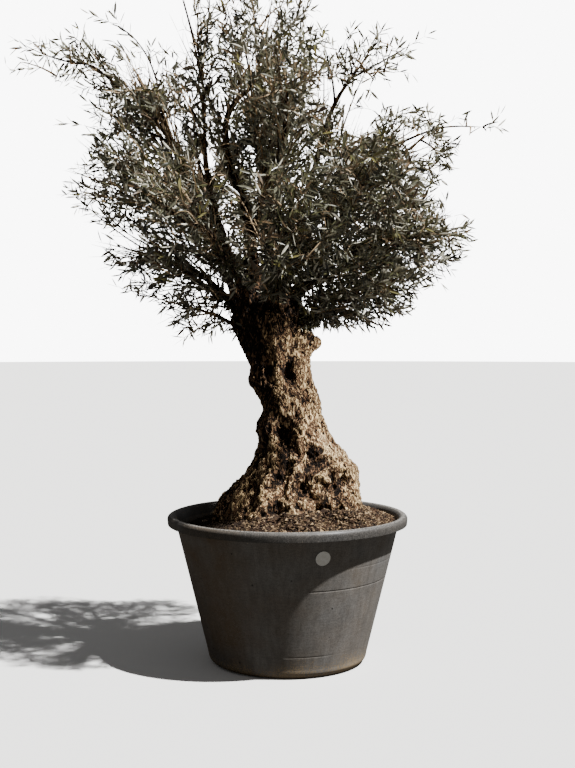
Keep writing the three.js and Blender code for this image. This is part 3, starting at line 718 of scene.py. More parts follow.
class TrunkForm:
    """The trunk's form about its centre line, with its flutes, roots, burls and hollows."""

    DEEP = 70.0  # how deep a hollow is that counts as full, in millimetres

    def value(self, height: np.ndarray, column: int) -> np.ndarray:
        """A value of the outline at heights, on a smooth curve through the stations.

        Args:
            height: heights in millimetres.
            column: the outline's column.

        Returns:
            The value at each height.
        """
        heights, values = TRUNK_STATIONS[:, 0], TRUNK_STATIONS[:, column]
        last = len(heights) - 1
        z = np.clip(height, heights[0], heights[-1])
        i = np.clip(np.searchsorted(heights, z, side="left") - 1, 0, last - 1)
        low, high = np.maximum(np.arange(last + 1) - 1, 0), np.minimum(np.arange(last + 1) + 1, last)
        slope = (values[high] - values[low]) / (heights[high] - heights[low])
        span = heights[i + 1] - heights[i]
        t = (z - heights[i]) / span
        rise = t * t * (3 - 2 * t)
        return (
            values[i] * (1 - rise)
            + values[i + 1] * rise
            + span * slope[i] * t * (1 - t) ** 2
            - span * slope[i + 1] * t * t * (1 - t)
        )

    def radius(self, angle: np.ndarray, height: np.ndarray) -> np.ndarray:
        """The radius at angles from +X, in radians, and heights."""
        width, depth = self.value(height, 2), self.value(height, 3)
        plain = 1 / np.hypot(np.cos(angle) / width, np.sin(angle) / depth)
        flutes = 0.03 * np.sin(5 * angle + height / 170) + 0.022 * np.sin(8 * angle - height / 120)
        radius = plain * (1 + flutes)
        foot = np.maximum(0, (ROOT_TOP - height) / (ROOT_TOP - SOIL_HEIGHT))
        for turn, spread, reach in ROOTS:
            away = self.turn(turn, angle) / math.radians(spread)
            radius = radius + reach * np.exp(-away * away) * foot**1.5
        for *lump, out in TRUNK_LUMPS:
            radius = radius + out * self.bump(lump, angle, height, plain)
        return radius

    def hollow(self, angle: np.ndarray, height: np.ndarray) -> np.ndarray:
        """How far into the trunk's hollows the surface lies at angles and heights, from 0 to about 1."""
        width = self.value(height, 2)
        depth = np.zeros_like(angle)
        for *lump, out in TRUNK_LUMPS:
            if out < 0:
                depth = depth - out / self.DEEP * self.bump(lump, angle, height, width)
        return depth

    def bump(
        self, lump: Sequence[float], angle: np.ndarray, height: np.ndarray, radius: np.ndarray
    ) -> np.ndarray:
        """How fully a rounded lump stands at places on the trunk, from 0 to 1 at its middle.

        Args:
            lump: its angle in degrees, its middle's height, and how wide and tall it is.
            angle: the places' angles in radians.
            height: their heights.
            radius: the trunk's radius, by which an angle becomes a width.

        Returns:
            The share at each place.
        """
        turn, middle, wide, tall = lump
        across = self.turn(turn, angle) * radius / wide
        along = (height - middle) / tall
        return np.exp(-across * across - along * along)

    @staticmethod
    def turn(degrees: float, angle: np.ndarray) -> np.ndarray:
        """The smallest turn from an angle in degrees to angles in radians."""
        away = angle - math.radians(degrees)
        return np.arctan2(np.sin(away), np.cos(away))


@dataclass
class Carrier:
    """A limb's path on to the middle of its mass, with its radius along it."""

    limb: Limb
    path: Path
    tip_share: float

    def radius_at(self, shares: np.ndarray | float) -> np.ndarray:
        """The limb's radii at shares of its path."""
        share = np.atleast_1d(shares).astype(float)
        first, last = self.limb.radii
        thin = first + (last - first) * np.minimum(share / self.tip_share, STEM_THINNEST)
        stub_share = self.limb.stub / self.path.long
        past = np.maximum(0, share - stub_share * 0.45) * self.path.long
        return thin * (1 + COLLAR_SWELL * np.exp(-past / COLLAR_REACH))


class Space:
    """The space of a mass: its ellipsoid, cut by a plane between it and each neighbour."""

    def __init__(self, mass: Mass, masses: Sequence[Mass]) -> None:
        """Finds the planes.

        Args:
            mass: the mass whose space this is.
            masses: all masses.
        """
        self.centre, self.size = np.array(mass.middle, float), np.array(mass.half, float)
        self.shortest = float(self.size.min())
        self.walls: list[tuple[np.ndarray, float]] = []
        for other in masses:
            if other is mass:
                continue
            way = np.array(other.middle, float) - self.centre
            distance = float(np.linalg.norm(way))
            normal = way / distance
            own = float(np.linalg.norm(normal * self.size))
            theirs = float(np.linalg.norm(normal * np.array(other.half)))
            if own + theirs > distance:
                self.walls.append((normal, distance * own / (own + theirs)))

    def holds(self, points: np.ndarray, margin: float) -> np.ndarray:
        """Whether points lie in the space, at least a margin from its edge."""
        out = np.atleast_2d(points) - self.centre
        inside = np.linalg.norm(out / self.size, axis=1) <= 1 - margin / self.shortest
        for normal, distance in self.walls:
            inside &= out @ normal < distance - margin
        return inside

    def share(self, point: np.ndarray) -> float:
        """How far out a point lies, from 0 in the middle to 1 on the ellipsoid."""
        return float(np.linalg.norm((point - self.centre) / self.size))

    def target(self, direction: np.ndarray, share: float) -> np.ndarray:
        """The point at a share of the way to the ellipsoid, drawn in until it is in the space."""
        while True:
            point = self.centre + direction * self.size * share
            share *= 0.94
            if share <= 0.25 or self.holds(point, 3 * CLEAR_OF_SPACE)[0]:
                return point


class Skeleton:
    """The carriers, spaces and wood that everything grows from."""

    ENTRY_STEPS = 400

    def __init__(self) -> None:
        """Works out the plan from the limbs and the masses."""
        self.trunk = TrunkForm()
        self.spaces = {mass.name: Space(mass, MASSES) for mass in MASSES}
        self.carriers = {mass.name: self._carrier(mass) for mass in MASSES}
        self._plant_wood()

    def _carrier(self, mass: Mass) -> Carrier:
        """The carrier of a mass."""
        limb = mass.limb or next(one for one in LIMBS if one.name == mass.on)
        path = path_through(np.array([*limb.through, mass.middle], float))
        if mass.limb:
            return Carrier(limb, path, limb.stub / path.long)
        shares = np.arange(self.ENTRY_STEPS + 1) / self.ENTRY_STEPS
        outside = np.nonzero(~self.spaces[mass.name].holds(path.at(shares), 2 * CLEAR_OF_SPACE))[0]
        return Carrier(limb, path, (int(outside[-1]) + 1) / self.ENTRY_STEPS)

    def _plant_wood(self) -> None:
        """Spreads points along all limbs, with the radius at each."""
        rows = []
        for carrier in self.carriers.values():
            count = math.ceil(carrier.tip_share * carrier.path.long / WOOD_SPACING)
            shares = np.linspace(0, carrier.tip_share, count + 1)
            rows.append((carrier.path.at(shares), carrier.radius_at(shares)))
        self.wood_points = np.vstack([points for points, _ in rows])
        self.wood_radii = np.concatenate([radii for _, radii in rows])

    def nearest_share(self, points: np.ndarray) -> np.ndarray:
        """How far out points lie in the mass that reaches nearest to each, 1 on its ellipsoid."""
        shares = [
            np.linalg.norm((points - space.centre) / space.size, axis=-1) for space in self.spaces.values()
        ]
        return np.min(shares, axis=0)

    def clear_of_wood(self, points: np.ndarray, half_width: float) -> np.ndarray:
        """Whether things of a half width at points are clear of the trunk and the limbs."""
        points = np.atleast_2d(points)
        clear = np.ones(len(points), bool)
        low = points[:, 2] < TRUNK_TOP + CLEAR_OF_LIMBS
        if low.any():
            z = points[low, 2]
            x = points[low, 0] - self.trunk.value(z, 1)
            y = points[low, 1]
            near = self.trunk.radius(np.arctan2(y, x), z) + half_width + CLEAR_OF_LIMBS
            clear[low] = np.hypot(x, y) >= near
        gaps = np.linalg.norm(points[:, None, :] - self.wood_points[None], axis=2)
        return clear & (gaps > self.wood_radii + half_width + CLEAR_OF_LIMBS).all(axis=1)


# The wood


@dataclass(frozen=True)
class OliveBark:
    """Old olive bark: grey-tan on the ridges, weathered and partly a painted highlight, and dark brown down
    in its furrows, partly painted shade.

    The eye gets a dull, dry and rough wood, cut into narrow ridges that run up the limb.
    """

    # The ridges' pale tint: weathered bark, and partly a painted highlight.
    worn_and_lit: str = "#dcbd8c"
    plain: str = "#765940"
    # The furrows' dark tint: dark bark, and partly painted shade.
    furrow: str = "#130b06"
    lichen: str = "#8d8776"
    ridge_width: float = 16.0
    ridge_stretch: float = 0.4
    grain_width: float = 7.0
    patch_size: float = 190.0
    bump_depth: float = 9.0
    roughness: float = 0.95

    def make(self) -> bpy.types.Material:
        """Makes the material, coloured by the relief that the mesh carries, which holds painted shade and
        highlight too.
        """
        material, tree = new_material("weathered_olive_bark")
        place = add_node(tree, "TexCoord", {}, "Object")
        relief = add_node(tree, "Attribute", {}, "Fac", attribute_name="relief")
        along = add_node(tree, "Mapping", {"Vector": place, "Scale": (1, 1, self.ridge_stretch)})
        waves = add_node(
            tree, "TexNoise", {"Vector": along, "Scale": 1 / (self.ridge_width * MM), "Detail": 1.5,
            "Roughness": 0.5, "Distortion": 0.9}
        )
        centred = add_node(tree, "Math", {0: waves, 1: 0.5}, operation="SUBTRACT")
        folded = add_node(tree, "Math", {0: centred}, operation="ABSOLUTE")
        ridges = add_node(
            tree, "MapRange", {"Value": folded, "From Min": 0.0, "From Max": 0.15},
            interpolation_type="SMOOTHSTEP"
        )
        grain = add_node(
            tree, "TexNoise", {"Vector": along, "Scale": 1 / (self.grain_width * MM), "Detail": 4.0,
            "Roughness": 0.65}
        )
        patches = add_node(
            tree, "TexNoise", {"Vector": place, "Scale": 1 / (self.patch_size * MM), "Detail": 3.0,
            "Roughness": 0.6}
        )
        ridged = add_node(tree, "Math", {0: ridges, 1: 0.6, 2: relief}, operation="MULTIPLY_ADD")
        mixed = add_node(tree, "Math", {0: grain, 1: 0.9, 2: ridged}, operation="MULTIPLY_ADD")
        deep = add_node(
            tree, "MapRange", {"Value": mixed, "From Min": 0.86, "From Max": 1.26},
            interpolation_type="SMOOTHSTEP"
        )
        high = add_node(
            tree, "MapRange", {"Value": mixed, "From Min": 1.3, "From Max": 1.62},
            interpolation_type="SMOOTHSTEP"
        )
        base = add_node(tree, "Mix", {"Factor": deep, 6: self.furrow, 7: self.plain}, 2, data_type="RGBA")
        worn_and_lit = add_node(tree, "Mix", {"Factor": high, 6: base, 7: self.worn_and_lit}, 2, data_type="RGBA")
        spread = add_node(
            tree, "MapRange", {"Value": patches, "From Min": 0.52, "From Max": 0.75, "To Max": 0.5}
        )
        patchy = add_node(tree, "Math", {0: spread, 1: high}, operation="MULTIPLY")
        colour = add_node(tree, "Mix", {"Factor": patchy, 6: worn_and_lit, 7: self.lichen}, 2, data_type="RGBA")
        rough = add_node(tree, "Math", {0: grain, 1: 0.45, 2: ridges}, operation="MULTIPLY_ADD")
        bump = add_node(tree, "Bump", {"Height": rough, "Distance": self.bump_depth * MM, "Strength": 1.0})
        shader = add_node(
            tree, "BsdfPrincipled", {"Base Color": colour, "Roughness": self.roughness,
            "Specular IOR Level": 0.2, "Normal": bump}
        )
        add_node(tree, "OutputMaterial", {"Surface": shader}, None)
        return material


@dataclass
class Wood:
    """The trunk and its boughs as one mesh with the bark's relief."""

    skeleton: Skeleton
    bark: OliveBark = field(default_factory=OliveBark)
    trunk_sides: int = 120
    trunk_rings: int = 90
    trunk_sink: float = 14.0
    limb_sides: int = 20
    limb_span: float = 25.0
    thick_radius: float = 15.0  # where a limb gets thinner than this, it goes on as a plain tube
    tube_sides: int = 12
    tube_lap: float = 45.0
    voxel: float = 7.05
    smooth_rounds: int = 3
    twist: float = 0.0011  # radians for each millimetre up
    hollow_shade: float = 0.5  # how much the bark's relief value falls in a hollow of the trunk, as painted shade
    shade_side_dark: float = 0.32  # and on the trunk's left side, away from the key light, as painted shade
    shade_side_angles: tuple[float, float] = (172.0, 190.0)  # degrees from +X, at the foot and under the crown
    shade_side_edges: tuple[float, float] = (0.72, 0.35)  # how wide it is there: the cosine of its half angle
    shade_side_heights: tuple[float, float] = (900.0, 1350.0)
    crown_shade_dark: float = 0.3  # and on the trunk's head and the boughs under the crown, as painted shade
    crown_shade_line: float = 1570.0
    crown_shade_slope: float = 60.0  # how much higher that begins on the right than in front
    crown_shade_fade: float = 80.0
    mark_relief: float = 9.0  # how far a full mark moves the surface
    noise_seed: int = 7  # without it the noise vectors differ from run to run
    trunk_reach: float = 45.0  # how far outside the trunk's plain form its relief ends
    trunk_fade: float = 40.0  # the width over which it fades
    foot_top: float = 1230.0  # the height where the foot's stronger relief ends
    foot_fade: float = 330.0
    cord_width: float = 52.0
    rib_width: float = 23.0
    grit_width: float = 10.0
    pit_spacing: float = 58.0
    swell_width: float = 120.0
    tube_span: float = 16.0
    tube_grain: float = 21.0
    tube_relief: float = 1.3

    def build(self) -> bpy.types.Object:
        """Builds the wood.

        Returns:
            The finished piece.
        """
        bars = [self._trunk_bar()]
        for carrier in self.skeleton.carriers.values():
            bars.append(self._thick_bar(carrier))
        pick(bars[0])
        for bar in bars:
            bar.select_set(True)
        bpy.ops.object.join()
        wood = bpy.context.object
        wood.name = "trunk_and_boughs"
        apply_modifier(wood, "REMESH", mode="VOXEL", voxel_size=self.voxel * MM, adaptivity=0)
        apply_modifier(wood, "SMOOTH", factor=0.5, iterations=self.smooth_rounds)
        self._carve(wood)
        tubes = [self._thin_tube(carrier) for carrier in self.skeleton.carriers.values()]
        pick(wood)
        for tube in tubes:
            tube.select_set(True)
        bpy.ops.object.join()
        bpy.ops.object.shade_smooth()
        wood.data.materials.clear()
        wood.data.materials.append(self.bark.make())
        finish_piece(wood, ["trunk", *(limb.name for limb in LIMBS)])
        return wood

    def _trunk_bar(self) -> bpy.types.Object:
        """Models the trunk without its boughs, in its true outline."""
        rod = unit_rod("trunk_bar", self.trunk_sides, self.trunk_rings)
        unit_points = points_of(rod) * MM
        foot = SOIL_HEIGHT - self.trunk_sink
        z = foot + unit_points[:, 2] * (TRUNK_TOP - foot)
        angle = np.arctan2(unit_points[:, 1], unit_points[:, 0])
        radius = self.skeleton.trunk.radius(angle, z) * np.hypot(unit_points[:, 0], unit_points[:, 1])
        x = self.skeleton.trunk.value(z, 1) + radius * np.cos(angle)
        move_points(rod, np.column_stack([x, radius * np.sin(angle), z]))
        return rod

    def _bend(self, rod: bpy.types.Object, carrier: Carrier, start: float, end: float,
              radii: Callable[[np.ndarray], np.ndarray]) -> None:
        """Bends a unit rod along a carrier's path.

        Args:
            rod: the rod.
            carrier: whose path it follows.
            start: the share of the path where it starts.
            end: the share where it ends.
            radii: gives the radii at shares of the path.
        """
        unit_points = points_of(rod) * MM
        shares = start + np.clip(unit_points[:, 2], 0, 1) * (end - start)
        heading = carrier.path.heading(shares)
        chord = np.abs(carrier.path.at(end) - carrier.path.at(start))[0]
        reference = np.eye(3)[int(np.argmin(chord))]
        side = unit(np.cross(reference, heading))
        across = np.cross(side, heading)
        radius = radii(shares)[:, None]
        points = carrier.path.at(shares)
        points = points + side * unit_points[:, :1] * radius + across * unit_points[:, 1:2] * radius
        move_points(rod, points)

    def _thick_end(self, carrier: Carrier) -> float:
        """The share of a carrier's path where its limb gets thinner than a plain tube's start."""
        shares = np.linspace(0, 1, 200)
        thick = np.nonzero(carrier.radius_at(shares) >= self.thick_radius)[0]
        return float(shares[thick[-1]]) if len(thick) else 0.05

    def _thick_bar(self, carrier: Carrier) -> bpy.types.Object:
        """Models the thick part of a limb, drawn in at its far end so that the tube hides it."""
        end = self._thick_end(carrier)
        lap = self.tube_lap / carrier.path.long
        rings = max(3, round((end + lap) * carrier.path.long / self.limb_span))
        rod = unit_rod(carrier.limb.name + "_bar", self.limb_sides, rings)

        def radii(shares: np.ndarray) -> np.ndarray:
            fade = np.clip((end + lap - shares) / lap, 0.15, 1)
            return carrier.radius_at(shares) * np.where(shares > end, fade, 1)

        self._bend(rod, carrier, 0, min(end + lap, 1), radii)
        return rod

    def _thin_tube(self, carrier: Carrier) -> bpy.types.Object:
        """Models the rest of a limb and its stem, to the middle of its mass."""
        end = self._thick_end(carrier)
        lap = self.tube_lap / carrier.path.long
        start = max(0.0, end - lap)
        rings = max(3, round((1 - start) * carrier.path.long / self.tube_span))
        rod = unit_rod(carrier.limb.name + "_tube", self.tube_sides, rings)

        def radii(shares: np.ndarray) -> np.ndarray:
            sunk = np.clip((shares - start) / (end - start + 1e-6), 0.6, 1)
            tip = np.clip((1 - shares) * carrier.path.long / 60, 0.25, 1)
            return carrier.radius_at(shares) * sunk * tip

        self._bend(rod, carrier, start, 1, radii)
        points = points_of(rod)
        normals = self._normals(rod)
        shift = np.array([noise.noise(Vector(p / self.tube_grain)) for p in points]) * self.tube_relief
        move_points(rod, points + normals * shift[:, None])
        # The tube's bark tone falls where its surface dips, partly as painted shade.
        store_values(rod, "relief", 0.3 + shift * 0.22)
        return rod

    @staticmethod
    def _normals(piece: bpy.types.Object) -> np.ndarray:
        """The unit normals of a piece's vertices, one row each."""
        flat = np.empty(len(piece.data.vertices) * 3)
        piece.data.vertices.foreach_get("normal", flat)
        return flat.reshape(-1, 3)

    def _carve(self, wood: bpy.types.Object) -> None:
        """Moves the wood's surface in and out by the bark's relief."""
        noise.seed_set(self.noise_seed)
        points = points_of(wood)
        normals = self._normals(wood)
        z = points[:, 2]
        x = points[:, 0] - self.skeleton.trunk.value(z, 1)
        angle = np.arctan2(points[:, 1], x)
        distance = np.hypot(x, points[:, 1])
        plain = self.skeleton.trunk.radius(angle, z)
        on_trunk = np.clip((plain + self.trunk_reach - distance) / self.trunk_fade, 0, 1)
        on_trunk = on_trunk * np.clip((TRUNK_TOP + 20 - z) / 60, 0, 1)
        foot = np.clip((self.foot_top - z) / self.foot_fade, 0, 1)
        shift = np.empty(len(points))
        ridge_and_shade = np.empty(len(points))
        for i in range(len(points)):
            turn = angle[i] + self.twist * z[i]
            spot = Vector((distance[i] * math.cos(turn), distance[i] * math.sin(turn), z[i]))
            shift[i], ridge_and_shade[i] = self._relief_at(spot, float(on_trunk[i]), float(foot[i]))
        # Painted shade in the trunk's hollows.
        ridge_and_shade -= self.hollow_shade * self.skeleton.trunk.hollow(angle, z) * on_trunk
        # Painted shade on the trunk's left side, and on its head under the crown.
        ridge_and_shade -= self.shade_side_dark * self._painted_shade_side(angle, z) * on_trunk + self.crown_shade_dark * self._crown_shade(angle, z)
        # The foot's paler cords, partly painted highlight, and its darker gaps, painted shade; both also
        # move the surface.
        wear_and_shade = self._wear_and_shade(angle, z) * on_trunk
        ridge_and_shade += wear_and_shade
        shift += wear_and_shade * self.mark_relief
        move_points(wood, points + normals * shift[:, None])
        store_values(wood, "relief", ridge_and_shade)

    def _crown_shade(self, angle: np.ndarray, height: np.ndarray) -> np.ndarray:
        """How far the surface lies above the line where the crown's painted shade begins on the trunk, from
        0 to 1.
        """
        line = self.crown_shade_line + self.crown_shade_slope * np.cos(angle)
        return np.clip((height - line) / self.crown_shade_fade, 0, 1)

    def _painted_shade_side(self, angle: np.ndarray, height: np.ndarray) -> np.ndarray:
        """How far the surface lies in the painted shade on the trunk's left side, away from the key light,
        from 0 to 1.
        """
        middle = np.radians(np.interp(height, self.shade_side_heights, self.shade_side_angles))
        edge = np.interp(height, self.shade_side_heights, self.shade_side_edges)
        return np.clip((np.cos(angle - middle) - edge) / 0.25, 0, 1)

    def _wear_and_shade(self, angle: np.ndarray, height: np.ndarray) -> np.ndarray:
        """How much paler the surface is on the foot's cords, weathered and partly painted highlight, or
        darker below 0 in its gaps, as painted shade.
        """
        width = self.skeleton.trunk.value(height, 2)
        tone = np.zeros_like(angle)
        for *mark, strength in FOOT_WEAR_AND_SHADE:
            tone += strength * self.skeleton.trunk.bump(mark, angle, height, width)
        return tone

    def _relief_at(self, spot: Vector, on_trunk: float, foot: float) -> tuple[float, float]:
        """The relief at one place.

        Args:
            spot: the place about the trunk's centre line, with the wood's twist taken out.
            on_trunk: 1 on the trunk and 0 on a bough.
            foot: 1 at the trunk's foot and 0 above its waist.

        Returns:
            How far the surface moves out in millimetres, and its bark tone from 0 in the furrows to 1 on the
            ridges, lowered in the pits as painted shade.
        """
        warped = spot + noise.noise_vector(spot / 130) * (38 * on_trunk) + noise.noise_vector(spot / 42) * 9
        flat = Vector((warped.x, warped.y, warped.z * 0.4))
        cords = 0.56 - abs(noise.noise(flat / self.cord_width)) * 2.2
        ribs = 0.56 - abs(noise.noise(flat / self.rib_width + Vector((7, 3, 1)))) * 2.2
        grit = noise.noise(Vector((spot.x, spot.y, spot.z * 0.6)) / self.grit_width)
        limb = 1.5 * cords + 1.8 * ribs + 0.8 * grit
        # On the boughs the bark's tone falls in the furrows, partly as painted shade.
        if on_trunk < 0.02:
            return limb, 0.46 + 0.14 * cords + 0.26 * ribs + 0.12 * grit
        cell = Vector((warped.x, warped.y, warped.z * 0.62)) / self.pit_spacing
        distances, places = noise.voronoi(cell)
        chosen = min(1.0, max(0.0, 0.55 + 1.6 * noise.noise(places[0] * 0.83)))
        pit = min(1.0, max(0.0, (0.52 - distances[0]) / 0.36))
        pit = pit * pit * (3 - 2 * pit) * chosen
        swell = noise.noise(spot / self.swell_width + Vector((4, 9, 2)))
        trunk = (9 + 4 * foot) * cords + 9 * ribs + 2.6 * grit - (7 + 11 * foot) * pit
        trunk = trunk + 8 * swell + 1.5 + 2 * foot
        # The bark's tone falls in the furrows and the pits, partly as painted shade.
        ridge_and_shade = 0.5 + 0.26 * cords + 0.34 * ribs + 0.14 * grit + 0.1 * foot - (0.2 + 0.28 * foot) * pit
        return limb + (trunk - limb) * on_trunk, ridge_and_shade


# The foliage


class LeafSide(Enum):
    """The tints of a leaf's two sides, each with its colour. A spray takes one upper and one under tint."""

    DARK = "#2c2d20"
    OLIVE = "#504f34"
    GREY = "#5e5d4c"
    BROWN = "#5f4d37"
    YELLOW = "#706a3c"
    SILVER = "#a3a08d"
    PALE = "#d8d3bf"


UPPER_TINTS = (LeafSide.DARK, LeafSide.OLIVE, LeafSide.GREY, LeafSide.BROWN, LeafSide.YELLOW)
UPPER_ODDS = (0.26, 0.35, 0.22, 0.12, 0.05)
UNDER_TINTS = (LeafSide.SILVER, LeafSide.PALE)


@dataclass(frozen=True)
class OliveLeaf:
    """Olive leaf: leathery, with a dull wax on top and a felt of silver hairs underneath."""

    tint: LeafSide
    roughness: float = 0.28
    under_roughness: float = 0.7

    def make(self) -> bpy.types.Material:
        """Makes the material of one tint: a plain base colour, with the leaf skin's faint grain."""
        under = self.tint in UNDER_TINTS
        material, tree = new_material(f"olive_leaf_{self.tint.name.lower()}")
        place = add_node(tree, "TexCoord", {}, "Object")
        grain = add_node(tree, "TexNoise", {"Vector": place, "Scale": 420.0, "Detail": 2.0})
        bump = add_node(tree, "Bump", {"Height": grain, "Distance": 0.4 * MM, "Strength": 0.5})
        shader = add_node(
            tree, "BsdfPrincipled", {"Base Color": self.tint.value,
            "Roughness": self.under_roughness if under else self.roughness,
            "Specular IOR Level": 0.3 if under else 0.7, "Normal": bump}
        )
        add_node(tree, "OutputMaterial", {"Surface": shader}, None)
        return material


@dataclass(frozen=True)
class TwigBark:
    """Young olive wood: smooth bark with small pores, dark brown on some twigs and tan on others."""

    light: str = "#c4a984"
    dark: str = "#33261d"
    pore_spacing: float = 7.0

    def make(self) -> bpy.types.Material:
        """Makes the material."""
        material, tree = new_material("young_olive_bark")
        place = add_node(tree, "TexCoord", {}, "Object")
        mottle = add_node(
            tree, "TexNoise", {"Vector": place, "Scale": 1 / (self.pore_spacing * MM), "Detail": 3.0}
        )
        tone = add_node(tree, "Attribute", {}, "Fac", attribute_name="tone")
        toned = add_node(tree, "Math", {0: mottle, 1: 0.8, 2: tone}, operation="MULTIPLY_ADD")
        share = add_node(tree, "MapRange", {"Value": toned, "From Min": 0.6, "From Max": 1.4})
        colour = add_node(tree, "Mix", {"Factor": share, 6: self.dark, 7: self.light}, 2, data_type="RGBA")
        shader = add_node(
            tree, "BsdfPrincipled", {"Base Color": colour, "Roughness": 0.85, "Specular IOR Level": 0.3}
        )
        add_node(tree, "OutputMaterial", {"Surface": shader}, None)
        return material


@dataclass
class LeafShape:
    """One leaf: a lance of a few faces, folded along its rib, with a dark top and a silvery underside.

    Places are shares: along the leaf's length, then across its half width.
    """

    low_out: float = 0.3
    low_half: float = 0.86
    high_out: float = 0.7
    high_half: float = 0.8
    rib_out: float = 0.5
    fold: float = 0.22  # of the half width
    droop: float = 0.05  # of the length
    thick: float = 0.9  # millimetres at the rib

    def points(self) -> np.ndarray:
        """The leaf's eight points, as shares of length, half width and half width, and thickness."""
        return np.array(
            [
                [0, 0, 0, 0],
                [self.low_out, -self.low_half, self.fold, 0],
                [self.high_out, -self.high_half, self.fold, 0],
                [1, 0, 0, 0],
                [self.high_out, self.high_half, self.fold, 0],
                [self.low_out, self.low_half, self.fold, 0],
                [self.rib_out, 0, 0, 0],
                [self.rib_out, 0, 0, -self.thick],
            ]
        )

    @staticmethod
    def triangles() -> np.ndarray:
        """The six upper faces, then the six under ones."""
        rim = [0, 1, 2, 3, 4, 5]
        upper = [[6, rim[i], rim[(i + 1) % 6]] for i in range(6)]
        under = [[7, rim[(i + 1) % 6], rim[i]] for i in range(6)]
        return np.array(upper + under)


class TwigKind(Enum):
    """The kinds of twigs: the radii of the two ends, the sides round, and the spans along."""

    MAIN = (TWIG_BASE_RADIUS, TWIG_TIP_RADIUS * 0.7, 6, 8)
    BRANCHLET = (3.4, 1.6, 4, 5)
    LEAFY = (1.9, 0.9, 3, 4)
    WHIP = (5.6, 1.7, 4, 8)
    LONE = (6.8, 3.0, 5, 12)
    SIDE = (1.5, 0.8, 3, 3)


@dataclass
class Shoot:
    """A twig or leafy shoot: its path, its kind, and if it stands out of the crown alone."""

    path: Path
    kind: TwigKind
    lone: bool = False

    @property
    def leafy(self) -> bool:
        """Whether it bears leaves."""
        return self.kind in (TwigKind.LEAFY, TwigKind.SIDE)


